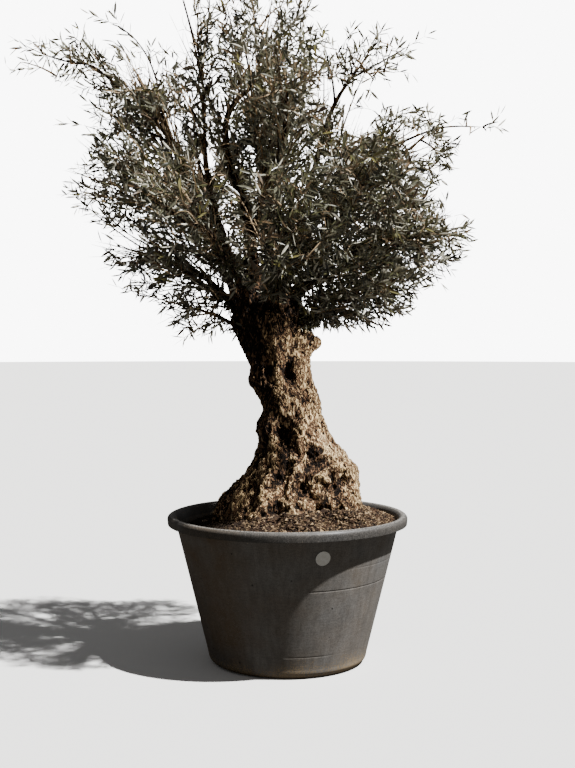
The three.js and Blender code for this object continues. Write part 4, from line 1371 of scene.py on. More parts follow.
@dataclass
class Foliage:
    """Every mass's twigs and leaves, grown on from the limbs by the rule of the model's source."""

    skeleton: Skeleton
    shape: LeafShape = field(default_factory=LeafShape)
    branchlet_lengths: tuple[float, float] = (80.0, 320.0)
    branchlet_shares: tuple[float, float] = (0.45, 0.9)  # how far out in their mass they grow to
    shoot_lengths: tuple[float, float] = (120.0, 290.0)
    shoot_shares: tuple[float, float] = (0.25, 0.99)
    target_stray: float = 12.0  # how far a finer twig misses its target
    target_crowding: float = 0.6  # below 1 it moves targets outwards
    bow: float = 0.5  # where a twig's bend lies, as a share of its length
    bow_stray: float = 0.06  # how far chance moves the bend, as a share of the length
    whip_bow_stray: float = 0.05
    carry: float = 0.6  # how strongly a twig first keeps the direction of the wood that it grows from
    whip_carry: float = 0.5
    side_carry: float = 0.4
    shoot_rise: float = 0.12
    outward: float = 0.7  # how strongly twigs lean away from the crown's heart
    heart: tuple[float, float, float] = (-80.0, 0.0, 1900.0)
    beside_reach: tuple[float, float] = (70.0, 230.0)
    whip_lengths: tuple[float, float] = (280.0, 680.0)
    whip_last: float = 0.97  # the share of its limb's path before which the last one stands
    whip_least: float = 0.3  # one that is cut back below this share of the least length is left out
    whip_stray: float = 0.38  # how far whips stray from the direction of their limb
    whip_reaches: tuple[float, float] = (1.14, 0.98)  # how far past the nearest ellipsoid, as a share
    reach_places: tuple[float, float] = (0.0, 350.0)  # across X, where those two reaches hold
    bare_whips: float = 0.24  # the share of whips with no leaves, which may end further out
    bare_from: float = -300.0  # they stand only on the masses to the left of this
    bare_reach: float = 1.26
    stub_bare: float = 0.5  # how much of a limb's stub bears no twigs
    side_first: float = 0.25  # where on a whip the first of its leafy shoots stands
    side_spacing: float = 60.0  # between them
    side_lengths: tuple[float, float] = (60.0, 150.0)
    side_leans: tuple[float, float] = (22.0, 48.0)
    box_spare: float = 22.0  # how far a leaf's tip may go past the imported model's box
    leaf_spacing: float = 19.0
    leaf_share: float = 0.8  # of the places for a leaf that hold one
    leaf_lengths: tuple[float, float] = (46.0, 80.0)
    leaf_slim: float = 0.2  # width as a share of length
    leaf_angles: tuple[float, float] = (28.0, 62.0)
    leaf_first: float = 0.1  # the share of a shoot where its first leaves stand
    pair_stray: float = 0.25  # radians that a pair of leaves strays round the shoot
    leaf_spin: float = 0.5  # radians that a leaf strays about its own length
    tip_close: float = 0.35  # how much less the leaves at a shoot's tip lean out
    leaf_small: float = 0.72  # the size of the smallest leaves of a shoot, as a share
    leaf_more: float = 0.28  # what the largest have on top of that
    reach: float = 1.02  # how far past its ellipsoid a leaf's tip may go, as a share

    def build(self) -> None:
        """Builds two pieces for each mass: its twigs and its leaves."""
        leaf_materials = [OliveLeaf(tint).make() for tint in LeafSide]
        twig_material = TwigBark().make()
        total = 0
        for seed, mass in enumerate(MASSES, start=1):
            shoots = self._shoots(mass, seed)
            twigs = self._twig_piece(mass, shoots)
            twigs.data.materials.append(twig_material)
            finish_piece(twigs, [f"{mass.name}_foliage"])
            leaves = self._leaf_piece(mass, seed, shoots)
            for material in leaf_materials:
                leaves.data.materials.append(material)
            finish_piece(leaves, [f"{mass.name}_foliage"])
            total += len(leaves.data.polygons) + len(twigs.data.polygons)
        LOG.info("foliage: %d triangles", total)

    def _main_twigs(self, mass: Mass, seed: int) -> tuple[list[Shoot], np.ndarray]:
        """The mass's main twigs, drawn as the model's source draws them.

        Args:
            mass: the mass.
            seed: the mass's seed in the source.

        Returns:
            The twigs, and the points that finer twigs can grow from.
        """
        skeleton = self.skeleton
        source = SourceDraws(seed)
        space, carrier = skeleton.spaces[mass.name], skeleton.carriers[mass.name]
        tip = carrier.tip_share
        nodes = carrier.path.trail(tip + (1 - tip) * STEM_BARE, 1, 5)
        turn = source.draw() * 2 * math.pi
        entry = carrier.path.at(tip)[0]
        targets = []
        for i in range(mass.twigs):
            share = TWIG_REACH + TWIG_REACH_SPREAD * source.draw()
            targets.append(space.target(even_direction(i, mass.twigs, turn), share))
        targets.sort(key=lambda target: float(np.linalg.norm(target - entry)))
        twigs = []
        for target in targets:
            gaps = np.linalg.norm(nodes - target, axis=1)
            start, length = nodes[int(np.argmin(gaps))], float(gaps.min())
            middle = (start + target) / 2
            middle[2] += length * TWIG_RISE
            middle[0] += length * TWIG_SWAY * (source.draw() - 0.5)
            path = bowed_path(start, middle, target)
            trail = path.trail(0, 1, 12)
            touches = not skeleton.clear_of_wood(trail[3:], TWIG_BASE_RADIUS).all()
            if length < TWIG_SHORTEST or touches:
                continue
            twigs.append(Shoot(path, TwigKind.MAIN))
            nodes = np.vstack([nodes, trail[4:]])
        return twigs, nodes

    def _shoots(self, mass: Mass, seed: int) -> list[Shoot]:
        """All twigs of a mass: the main ones, then branchlets and leafy shoots that grow on from them.

        The last leafy shoots stand beside the bare part of the limb, which closes the crown's inside.
        """
        twigs, nodes = self._main_twigs(mass, seed)
        draws = np.random.default_rng(1000 + seed)
        headings = np.zeros_like(nodes)
        targets = self._spread(mass, draws, mass.branchlets, self.branchlet_shares)
        space = self.skeleton.spaces[mass.name]
        branchlets, nodes, headings = self._grow(
            draws, targets, nodes, headings, self.branchlet_lengths, None
        )
        targets = self._spread(mass, draws, mass.shoots, self.shoot_shares)
        shoots, _, _ = self._grow(draws, targets, nodes, headings, self.shoot_lengths, space)
        targets, nodes, headings = self._beside(mass, draws)
        beside, _, _ = self._grow(draws, targets, nodes, headings, self.shoot_lengths, space)
        return [*twigs, *branchlets, *shoots, *beside, *self._whips(mass, draws), *self._lone(mass, draws)]

    def _first_share(self, carrier: Carrier) -> float:
        """The share of a carrier's path where its first twig stands."""
        return min(0.8, carrier.limb.stub * self.stub_bare / carrier.path.long)

    def _whips(self, mass: Mass, draws: np.random.Generator) -> list[Shoot]:
        """Long thin twigs that leave a mass's limb and sweep outwards, with the leafy shoots on them."""
        carrier = self.skeleton.carriers[mass.name]
        first = self._first_share(carrier)
        grown = []
        for i in range(mass.whips):
            share = first + (self.whip_last - first) * (i + draws.random()) / mass.whips
            start, heading = carrier.path.at(share)[0], carrier.path.heading(share)[0]
            outwards = unit(start - np.array(self.heart))
            way = unit(heading + self.outward * outwards + draws.normal(0, self.whip_stray, 3))
            bare = draws.random() < self.bare_whips * (mass.middle[0] < self.bare_from)
            full = float(np.interp(mass.middle[0], self.reach_places, self.whip_reaches))
            reach = self.bare_reach if bare else full
            length = self._cut_back(start, way, between(self.whip_lengths, draws.random()), reach)
            bow = unit(way + self.whip_carry * heading) * length * self.bow
            bow = bow + draws.normal(0, self.whip_bow_stray, 3) * length
            if length < self.whip_lengths[0] * self.whip_least:
                continue
            path = bowed_path(start, start + bow, start + way * length)
            grown.append(Shoot(path, TwigKind.WHIP))
            if not bare:
                grown += self._sides(path, draws, self.side_first)
        return grown

    def _lone(self, mass: Mass, draws: np.random.Generator) -> list[Shoot]:
        """The twigs of a mass that stand out of the crown, with the leafy shoots on them."""
        carrier = self.skeleton.carriers[mass.name]
        grown = []
        for twig in LONE_TWIGS:
            if twig.mass == mass.name:
                start = carrier.path.at(twig.share)[0]
                path = bowed_path(start, np.array(twig.bend, float), np.array(twig.end, float))
                grown.append(Shoot(path, TwigKind.LONE, lone=True))
                if twig.leafy_from < 1:
                    grown += self._sides(path, draws, twig.leafy_from, True)
        return grown

    def _cut_back(self, start: np.ndarray, way: np.ndarray, length: float, reach: float) -> float:
        """The length at which a twig that starts somewhere and goes one way still ends within reach."""
        while length > 10 and not self._may_reach(start + way * length, reach):
            length *= 0.9
        return length

    def _in_box(self, points: np.ndarray) -> np.ndarray:
        """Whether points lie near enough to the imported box."""
        low, high = (np.array(corner) / MM for corner in PACKED_BOX)
        return ((points > low - self.box_spare) & (points < high + self.box_spare)).all(axis=-1)

    def _hiding(self, points: np.ndarray, draws: np.random.Generator) -> np.ndarray:
        """Whether leaves at points hide the sky in an opening, or a stretch of a limb that shows.

        Args:
            points: the leaves' middles.
            draws: the mass's random numbers, which soften the openings' edges.

        Returns:
            True for each leaf that does.
        """
        rays = points - EYE
        seen = rays * (-EYE[1] / rays[:, 1:2]) + EYE
        edge = 0.7 + 0.6 * draws.random(len(points))
        hiding = np.zeros(len(points), bool)
        for x, z, half_x, half_z in OPENINGS:
            hiding |= np.hypot((seen[:, 0] - x) / half_x, (seen[:, 2] - z) / half_z) < edge
        for stretch in OPEN_STRETCHES:
            line = self.skeleton.carriers[stretch.mass].path.at(np.linspace(0, 1, 120))
            line = line[(line[:, 2] > stretch.heights[0]) & (line[:, 2] < stretch.heights[1])]
            for spot in line:
                nearer = (spot - EYE)[1] / rays[:, 1]
                gap = np.linalg.norm((rays * nearer[:, None] + EYE - spot)[:, [0, 2]], axis=1)
                hiding |= (nearer > 1) & (gap < stretch.half)
        return hiding

    def _may_reach(self, points: np.ndarray, reach: float) -> np.ndarray:
        """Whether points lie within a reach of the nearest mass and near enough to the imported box."""
        return self._in_box(points) & (self.skeleton.nearest_share(points) < reach)

    def _sides(
        self, path: Path, draws: np.random.Generator, start: float, lone: bool = False
    ) -> list[Shoot]:
        """The leafy shoots along a whip, which turn round it from one to the next, and the one at its tip.

        Args:
            path: the whip's path.
            draws: the mass's random numbers.
            start: the share of the path where the first one stands.
            lone: whether the whip stands out of the crown.

        Returns:
            The shoots.
        """
        count = max(2, round(path.long * (1 - start) / self.side_spacing))
        shares = np.linspace(start, 1, count)
        middle, heading = path.at(shares), path.heading(shares)
        side, across = square_to(heading)
        first = draws.random() * 2 * math.pi
        sides = []
        for i in range(count):
            turn = first + i * GOLDEN_TURN
            lean = math.radians(between(self.side_leans, draws.random())) * (i < count - 1)
            away = side[i] * math.cos(turn) + across[i] * math.sin(turn)
            way = heading[i] * math.cos(lean) + away * math.sin(lean)
            low, high = self.side_lengths
            length = low + (high - low) * draws.random() * (1 - 0.4 * shares[i])
            while length > low * 0.5 and not self._in_box(middle[i] + way * length):
                length *= 0.9
            bend = unit(way + self.side_carry * heading[i]) * length * self.bow
            own = bowed_path(middle[i], middle[i] + bend, middle[i] + way * length)
            sides.append(Shoot(own, TwigKind.SIDE, lone))
        return sides

    def _spread(
        self, mass: Mass, draws: np.random.Generator, count: int, shares: tuple[float, float]
    ) -> list[np.ndarray]:
        """Targets spread through a mass, the nearest to its limb first.

        Args:
            mass: the mass.
            draws: the mass's random numbers.
            count: how many targets.
            shares: how far out they lie, from the middle 0 to the ellipsoid 1.

        Returns:
            The targets.
        """
        space, carrier = self.skeleton.spaces[mass.name], self.skeleton.carriers[mass.name]
        entry = carrier.path.at(carrier.tip_share)[0]
        turn = draws.random() * 2 * math.pi
        targets = []
        for i in range(count):
            away = between(shares, draws.random() ** self.target_crowding)
            targets.append(space.centre + even_direction(i, count, turn) * space.size * away)
        return sorted(targets, key=lambda target: float(np.linalg.norm(target - entry)))

    def _beside(
        self, mass: Mass, draws: np.random.Generator
    ) -> tuple[list[np.ndarray], np.ndarray, np.ndarray]:
        """Targets around the bare part of a mass's limb, with the limb's own points and directions."""
        carrier = self.skeleton.carriers[mass.name]
        first = self._first_share(carrier)
        shares = np.linspace(first, max(first + 0.05, carrier.tip_share), 40)
        nodes, headings = carrier.path.at(shares), carrier.path.heading(shares)
        targets = []
        for i in range(mass.beside):
            at = int((i + 0.5) / mass.beside * len(shares))
            away = even_direction(i, mass.beside, draws.random() * 2 * math.pi)
            targets.append(nodes[at] + away * between(self.beside_reach, draws.random()))
        return targets, nodes, headings

    def _grow(
        self, draws: np.random.Generator, targets: Sequence[np.ndarray], nodes: np.ndarray,
        headings: np.ndarray, lengths: tuple[float, float], space: Space | None,
    ) -> tuple[list[Shoot], np.ndarray, np.ndarray]:
        """Grows one round of finer twigs, each from the nearest wood already there to its own target.

        Args:
            draws: the mass's random numbers.
            targets: where they grow to.
            nodes: the points that twigs can grow from.
            headings: the direction of the wood at each of them, or zero.
            lengths: the least and most length of a twig.
            space: the space of leafy shoots, which lean outwards in it, or nothing for bare twigs.

        Returns:
            The new twigs, and the points and directions with theirs added.
        """
        grown = []
        for target in targets:
            gaps = np.linalg.norm(nodes - target, axis=1)
            nearest = int(np.argmin(gaps))
            start, heading = nodes[nearest], headings[nearest]
            chord = unit(target - start + draws.normal(0, self.target_stray, 3))
            if space is not None:
                chord = unit(chord + self.outward * unit(start - np.array(self.heart)))
            shortest = lengths[0] * (0.6 + 0.5 * draws.random())
            length = float(np.clip(gaps[nearest], shortest, lengths[1]))
            while length > 30 and not self._holds(space, start + chord * length):
                length *= 0.88
            end = start + chord * length
            bow = unit(chord + self.carry * heading) * length * self.bow
            rise = np.array([0, 0, length * self.shoot_rise])
            stray = draws.normal(0, self.bow_stray, 3) * length
            path = bowed_path(start, start + bow + rise + stray, end)
            grown.append(Shoot(path, TwigKind.LEAFY if space else TwigKind.BRANCHLET))
            if space is None:
                nodes = np.vstack([nodes, path.trail(0.2, 1, 6)])
                headings = np.vstack([headings, path.heading(np.linspace(0.2, 1, 7))])
        return grown, nodes, headings

    def _holds(self, space: Space | None, point: np.ndarray) -> bool:
        """Whether a twig may end at a point: near the box, and inside a leafy shoot's space."""
        return bool(self._in_box(point)) and (space is None or space.share(point) <= 1)

    def _twig_piece(self, mass: Mass, shoots: Sequence[Shoot]) -> bpy.types.Object:
        """Joins the twigs of a mass, each a closed tube that ends in a point."""
        points, triangles, start, tones = [], [], 0, []
        draws = np.random.default_rng(len(shoots))
        for shoot in shoots:
            own, faces = self._tube(shoot)
            points.append(own)
            triangles.append(faces + start)
            start += len(own)
            tones.append(np.full(len(own), draws.random() * (not shoot.lone)))
        piece = piece_from_arrays(f"{mass.name}_twigs", np.vstack(points), np.vstack(triangles))
        store_values(piece, "tone", np.concatenate(tones))
        return piece

    @staticmethod
    def _tube(shoot: Shoot) -> tuple[np.ndarray, np.ndarray]:
        """The points and triangles of one twig."""
        thick, thin, sides, spans = shoot.kind.value
        shares = np.arange(spans) / spans
        middle = shoot.path.at(shares)
        side, across = square_to(shoot.path.heading(shares))
        turns = np.arange(sides) * 2 * math.pi / sides
        ring = side[:, None] * np.cos(turns)[:, None] + across[:, None] * np.sin(turns)[:, None]
        points = middle[:, None] + ring * between((thick, thin), shares)[:, None, None]
        points = np.vstack([points.reshape(-1, 3), middle[:1], shoot.path.at(1.0)])
        root, tip = spans * sides, spans * sides + 1
        faces = []
        for j in range(sides):
            k = (j + 1) % sides
            faces.append([root, k, j])
            for i in range(spans - 1):
                low, high = i * sides, (i + 1) * sides
                faces.append([low + j, low + k, high + k])
                faces.append([low + j, high + k, high + j])
            last = (spans - 1) * sides
            faces.append([last + j, last + k, tip])
        return points, np.array(faces)

    def _leaf_piece(self, mass: Mass, seed: int, shoots: Sequence[Shoot]) -> bpy.types.Object:
        """Joins the leaves of a mass, with the tint of each spray on its faces."""
        draws = np.random.default_rng(5000 + seed)
        leafy = [shoot for shoot in shoots if shoot.leafy]
        sprays = [self._spray(shoot, draws) for shoot in leafy]
        lone = np.repeat([shoot.lone for shoot in leafy], [len(spray[0]) for spray in sprays])
        roots, along, normal, lengths, tints = (np.concatenate(part) for part in zip(*sprays))
        tips = roots + along * lengths[:, None]
        space = self.skeleton.spaces[mass.name]
        limb = self.skeleton.carriers[mass.name].path.at(np.linspace(0, 1, 40))
        near_limb = np.linalg.norm(tips[:, None] - limb[None], axis=2).min(axis=1) < self.beside_reach[1]
        kept = near_limb | (np.linalg.norm((tips - space.centre) / space.size, axis=1) < self.reach)
        kept |= lone | (self.skeleton.nearest_share(tips) < self.bare_reach)
        kept &= self._in_box(tips) & ~self._hiding((roots + tips) / 2, draws)
        kept &= self.skeleton.clear_of_wood(roots + along * lengths[:, None] * 0.6, 0)
        roots, along, normal, lengths, tints = (
            part[kept] for part in (roots, along, normal, lengths, tints)
        )
        side = np.cross(normal, along)
        half = lengths * self.leaf_slim / 2
        out, wide, raised, thick = self.shape.points().T
        height = raised * half[:, None] + thick - self.shape.droop * out**2 * lengths[:, None]
        points = copies_of(
            roots, (along, side, normal), (out * lengths[:, None], wide * half[:, None], height)
        )
        pattern = self.shape.triangles()
        triangles = (pattern[None] + 8 * np.arange(len(roots))[:, None, None]).reshape(-1, 3)
        piece = piece_from_arrays(f"{mass.name}_leaves", points, triangles)
        slots = np.empty((len(roots), 12), np.int32)
        order = list(LeafSide)
        upper = np.array([order.index(tint) for tint in UPPER_TINTS])
        under = np.array([order.index(tint) for tint in UNDER_TINTS])
        slots[:, :6] = upper[tints % 10][:, None]
        slots[:, 6:] = under[tints // 10][:, None]
        piece.data.polygons.foreach_set("material_index", slots.ravel())
        return piece

    def _spray(self, shoot: Shoot, draws: np.random.Generator) -> tuple[np.ndarray, ...]:
        """The leaves of one shoot, in opposite pairs that turn by a quarter from one to the next.

        Args:
            shoot: the leafy shoot.
            draws: the mass's random numbers.

        Returns:
            The leaves' roots, directions, upper normals, lengths and tints.
        """
        pairs = max(3, round(shoot.path.long * (1 - self.leaf_first) / self.leaf_spacing))
        shares = np.linspace(self.leaf_first, 1, pairs)
        heading = shoot.path.heading(shares)
        middle = shoot.path.at(shares)
        side, across = square_to(heading)
        first = draws.random() * math.pi
        tint = int(draws.choice(len(UPPER_TINTS), p=UPPER_ODDS)) + 10 * int(draws.integers(2))
        rows = []
        for i in range(pairs):
            turn = first + (i % 2) * math.pi / 2 + draws.normal(0, self.pair_stray)
            for facing in (0.0, math.pi):
                if draws.random() > self.leaf_share:
                    continue
                away = side[i] * math.cos(turn + facing) + across[i] * math.sin(turn + facing)
                lean = math.radians(between(self.leaf_angles, draws.random()))
                lean *= 1 - self.tip_close * shares[i] ** 4
                along = heading[i] * math.cos(lean) + away * math.sin(lean)
                top = heading[i] * math.sin(lean) - away * math.cos(lean)
                spin = draws.normal(0, self.leaf_spin)
                normal = top * math.cos(spin) + np.cross(along, top) * math.sin(spin)
                size = between(self.leaf_lengths, draws.random())
                plump = math.sin(math.pi * min(1, 0.25 + 0.6 * shares[i]))
                size *= self.leaf_small + self.leaf_more * plump
                rows.append((middle[i], along, normal, size, tint))
        roots, along, normal, lengths, tints = zip(*rows) if rows else ([], [], [], [], [])
        return (
            np.array(roots).reshape(-1, 3), np.array(along).reshape(-1, 3),
            np.array(normal).reshape(-1, 3), np.array(lengths, float), np.array(tints, int),
        )


def even_direction(index: int, count: int, turn: float) -> np.ndarray:
    """One of a number of directions spread evenly over a ball.

    Args:
        index: which one.
        count: how many there are.
        turn: an angle that they are all turned by.

    Returns:
        The direction, of length 1.
    """
    up = 1 - (2 * (index + 0.5)) / count
    level = math.sqrt(1 - up * up)
    around = GOLDEN_TURN * index + turn
    return np.array([level * math.cos(around), level * math.sin(around), up])


# The tub, its soil and its tag


@dataclass(frozen=True)
class TubPlastic:
    """Black polyethylene, moulded, and dulled by years outdoors.

    The eye gets a dark grey wall with a brown film of dust, heavier to the left where it is also painted
    shade, dried splashes of soil at the foot, fine scuffs that run round and down, and a dark rim band with
    a paler top edge, rubbed and partly a painted highlight.
    """

    black: str = "#3a3937"
    faded: str = "#989591"
    dust: str = "#67543b"
    mud: str = "#b59d79"
    rim_black: str = "#262523"
    # The rim top's pale tint: rubbed plastic, and partly a painted highlight.
    rim_worn_and_lit: str = "#a09c95"
    scratch: str = "#a9a6a0"
    speck: str = "#12100e"
    speck_spacing: float = 85.0
    roughness: float = 0.5

    def make(self) -> bpy.types.Material:
        """Makes the material."""
        material, tree = new_material("moulded_black_polyethylene")
        place = add_node(tree, "TexCoord", {}, "Object")
        split = add_node(tree, "SeparateXYZ", {"Vector": place}, None)
        across, height = split["X"], split["Z"]
        clouds = add_node(
            tree, "TexNoise", {"Vector": place, "Scale": 4.5, "Detail": 6.0, "Roughness": 0.62}
        )
        streak_place = add_node(tree, "Mapping", {"Vector": place, "Scale": (1, 1, 0.05)})
        streaks = add_node(
            tree, "TexNoise", {"Vector": streak_place, "Scale": 38.0, "Detail": 4.0, "Roughness": 0.6}
        )
        scuff_place = add_node(tree, "Mapping", {"Vector": place, "Scale": (0.16, 0.16, 1.0)})
        scuffs = add_node(
            tree, "TexNoise", {"Vector": scuff_place, "Scale": 150.0, "Detail": 3.0, "Roughness": 0.55}
        )
        speckle = add_node(
            tree, "TexNoise", {"Vector": place, "Scale": 170.0, "Detail": 3.0, "Roughness": 0.7}
        )
        lined = add_node(tree, "Math", {0: scuffs, 1: 0.5, 2: streaks}, operation="MULTIPLY_ADD")
        fade = add_node(tree, "MapRange", {"Value": lined, "From Min": 0.1, "From Max": 1.3})
        wall = add_node(tree, "Mix", {"Factor": fade, 6: self.black, 7: self.faded}, 2, data_type="RGBA")
        dusty = add_node(
            tree, "MapRange", {"Value": clouds, "From Min": 0.36, "From Max": 0.72, "To Max": 0.45}
        )
        # Painted shade: the dust film grows heavier towards the left, the side away from the key light.
        left_film_and_shade = add_node(
            tree, "MapRange", {"Value": across, "From Min": 0.1, "From Max": -0.35, "To Max": 0.75}
        )
        filmed = add_node(tree, "Math", {0: left_film_and_shade, 1: clouds, 2: dusty}, operation="MULTIPLY_ADD")
        dusted = add_node(tree, "Mix", {"Factor": filmed, 6: wall, 7: self.dust}, 2, data_type="RGBA")
        low = add_node(
            tree, "MapRange", {"Value": height, "From Min": 0.0, "From Max": 0.12, "To Min": 0.9,
            "To Max": 0.0}
        )
        splashed = add_node(tree, "Math", {0: clouds, 1: 1.3, 2: low}, operation="MULTIPLY_ADD")
        grainy = add_node(tree, "Math", {0: speckle, 1: 3.0, 2: splashed}, operation="MULTIPLY_ADD")
        muddy = add_node(
            tree, "MapRange", {"Value": grainy, "From Min": 2.7, "From Max": 2.96, "To Max": 0.9},
            interpolation_type="SMOOTHSTEP"
        )
        mudded = add_node(tree, "Mix", {"Factor": muddy, 6: dusted, 7: self.mud}, 2, data_type="RGBA")
        cells = add_node(
            tree, "TexVoronoi", {"Vector": place, "Scale": 1 / (self.speck_spacing * MM)}, None
        )
        ragged = add_node(
            tree, "Math", {0: speckle, 1: 0.12, 2: cells["Distance"]}, operation="MULTIPLY_ADD"
        )
        specked = add_node(
            tree, "MapRange", {"Value": ragged, "From Min": 0.1, "From Max": 0.13, "To Min": 0.85,
            "To Max": 0.0}
        )
        marked = add_node(tree, "Mix", {"Factor": specked, 6: mudded, 7: self.speck}, 2, data_type="RGBA")
        hairs = add_node(
            tree, "TexNoise", {"Vector": place, "Scale": 26.0, "Detail": 5.0, "Roughness": 0.72,
            "Distortion": 1.2}
        )
        hair_side = add_node(tree, "Math", {0: hairs, 1: 0.5}, operation="SUBTRACT")
        hair_gap = add_node(tree, "Math", {0: hair_side}, operation="ABSOLUTE")
        hair_line = add_node(
            tree, "MapRange", {"Value": hair_gap, "From Min": 0.0, "From Max": 0.007, "To Min": 1.0,
            "To Max": 0.0}
        )
        hair_patch = add_node(
            tree, "MapRange", {"Value": clouds, "From Min": 0.5, "From Max": 0.62, "To Max": 0.7}
        )
        scratched = add_node(tree, "Math", {0: hair_line, 1: hair_patch}, operation="MULTIPLY")
        scuffed = add_node(
            tree, "Mix", {"Factor": scratched, 6: marked, 7: self.scratch}, 2, data_type="RGBA"
        )
        collar = add_node(
            tree, "MapRange", {"Value": height, "From Min": 0.682, "From Max": 0.688, "To Max": 0.85}
        )
        collar_patchy = add_node(
            tree, "MapRange", {"Value": speckle, "From Min": 0.42, "From Max": 0.66, "To Min": collar,
            "To Max": 0.4}
        )
        banded = add_node(
            tree, "Mix", {"Factor": collar_patchy, 6: scuffed, 7: self.rim_black}, 2, data_type="RGBA"
        )
        # The rim's top edge paler in patches: rubbed, and partly a painted highlight on the lit top.
        top = add_node(
            tree, "MapRange", {"Value": height, "From Min": 0.731, "From Max": 0.7356},
            interpolation_type="SMOOTHSTEP"
        )
        rubbed = add_node(tree, "MapRange", {"Value": speckle, "From Min": 0.42, "From Max": 0.66})
        worn_and_lit = add_node(tree, "Math", {0: top, 1: rubbed}, operation="MULTIPLY")
        colour = add_node(tree, "Mix", {"Factor": worn_and_lit, 6: banded, 7: self.rim_worn_and_lit}, 2, data_type="RGBA")
        rough = add_node(
            tree, "MapRange", {"Value": clouds, "From Min": 0.3, "From Max": 0.7,
            "To Min": self.roughness - 0.08, "To Max": self.roughness + 0.22}
        )
        surface = add_node(tree, "Math", {0: scuffs, 1: 0.5, 2: speckle}, operation="MULTIPLY_ADD")
        bump = add_node(tree, "Bump", {"Height": surface, "Distance": 0.8 * MM, "Strength": 0.35})
        shader = add_node(
            tree, "BsdfPrincipled", {"Base Color": colour, "Roughness": rough, "Specular IOR Level": 0.45,
            "Normal": bump}
        )
        add_node(tree, "OutputMaterial", {"Surface": shader}, None)
        return material


@dataclass(frozen=True)
class Seam:
    """A mould seam round the wall: a hair line that is deeper between two angles."""

    height: float
    depth: float
    first: float  # degrees from +X, so the seen side is -90
    last: float
    fade: float = 9.0
    hair: float = 0.15  # the share of its depth that it has elsewhere

    def share(self, angle: np.ndarray) -> np.ndarray:
        """How much of its depth the seam has at angles in radians."""
        away = angle - math.radians((self.first + self.last) / 2)
        away = np.abs(np.degrees(np.arctan2(np.sin(away), np.cos(away))))
        inside = np.clip(1 + ((self.last - self.first) / 2 - away) / self.fade, 0, 1)
        return self.hair + (1 - self.hair) * inside


@dataclass
class Tub:
    """The round tub: a moulded wall with a rounded foot, mould seams and a rolled rim."""

    sides: int = 180
    height: float = 735.0
    base_radius: float = 358.0
    foot_radius: float = 398.0
    foot_height: float = 42.0
    top_radius: float = 555.0
    wall: float = 9.0
    floor: float = 12.0
    rim_radius: float = 600.0
    rim_depth: float = 48.0
    rim_round: float = 19.0
    seams: tuple[Seam, ...] = (
        Seam(111, 0.8, -99, -66), Seam(437, 1.1, -78, -18), Seam(536, 0.6, -48, 0), Seam(437, 1.0, 60, 150)
    )
    sway: float = 1.6  # how far the wall strays from round

    def outside(self, height: float) -> float:
        """The radius of the wall's outside at a height."""
        share = (height - self.foot_height) / (self.height - self.rim_depth - self.foot_height)
        return self.foot_radius + (self.top_radius - self.foot_radius) * share

    def profile(self) -> list[tuple[float, float]]:
        """The section, from the edge of the underside round the outside to the floor inside."""
        rings = [(self.base_radius, 0.0)]
        turns = [i / 6 * math.pi / 2 for i in range(7)]
        swell = self.foot_radius - self.base_radius
        for turn in turns[1:]:
            rise = self.foot_height * (1 - math.cos(turn))
            rings.append((self.base_radius + swell * math.sin(turn), rise))
        under = self.height - self.rim_depth
        heights = {round(h, 1) for h in np.linspace(self.foot_height + 8, under - 12, 22)}
        heights = {h for h in heights if all(abs(h - seam.height) > 9 for seam in self.seams)}
        for seam in self.seams:
            heights |= {seam.height + step for step in (-7, -2, 0, 2, 7)}
        rings += [(self.outside(height), height) for height in sorted(heights)]
        rings += [(self.top_radius + 1, under - 5), (self.top_radius + 5, under)]
        edge = self.rim_radius
        rings += [(edge - 7, under), (edge - 3, under + 2), (edge - 2, under + 8), (edge - 1, under + 18)]
        inside, below = edge - self.rim_round, self.height - self.rim_round
        for turn in turns:
            rings.append((inside + self.rim_round * math.cos(turn), below + self.rim_round * math.sin(turn)))
        inner = self.top_radius + 8
        rings += [(inner + 6, self.height - 1.5), (inner, self.height - 5), (inner - 8, self.height - 14)]
        rings += [(self.top_radius - self.wall, under - 10)]
        rings += [(self.foot_radius - self.wall, self.foot_height), (self.base_radius, self.floor)]
        return rings

    def build(self) -> bpy.types.Object:
        """Builds the tub."""
        tub = turned_solid("nursery_tub", self.profile(), self.sides)
        points = points_of(tub)
        angle = np.arctan2(points[:, 1], points[:, 0])
        radius = np.hypot(points[:, 0], points[:, 1])
        height = points[:, 2] / self.height
        wander = np.sin(2 * angle + 0.7) + 0.5 * np.sin(5 * angle + 3 * height) + 0.4 * np.sin(9 * angle - 2)
        radius = radius + self.sway * wander * height * (radius > self.base_radius + 1)
        for seam in self.seams:
            here = (np.abs(points[:, 2] - seam.height) < 0.5) & (radius > self.base_radius + 1)
            radius = radius - here * seam.depth * seam.share(angle)
        moved = np.column_stack([radius * np.cos(angle), radius * np.sin(angle), points[:, 2]])
        move_points(tub, moved)
        pick(tub)
        bpy.ops.object.shade_smooth_by_angle(angle=math.radians(40))
        tub.data.materials.append(TubPlastic().make())
        finish_piece(tub, ["tub"])
        return tub


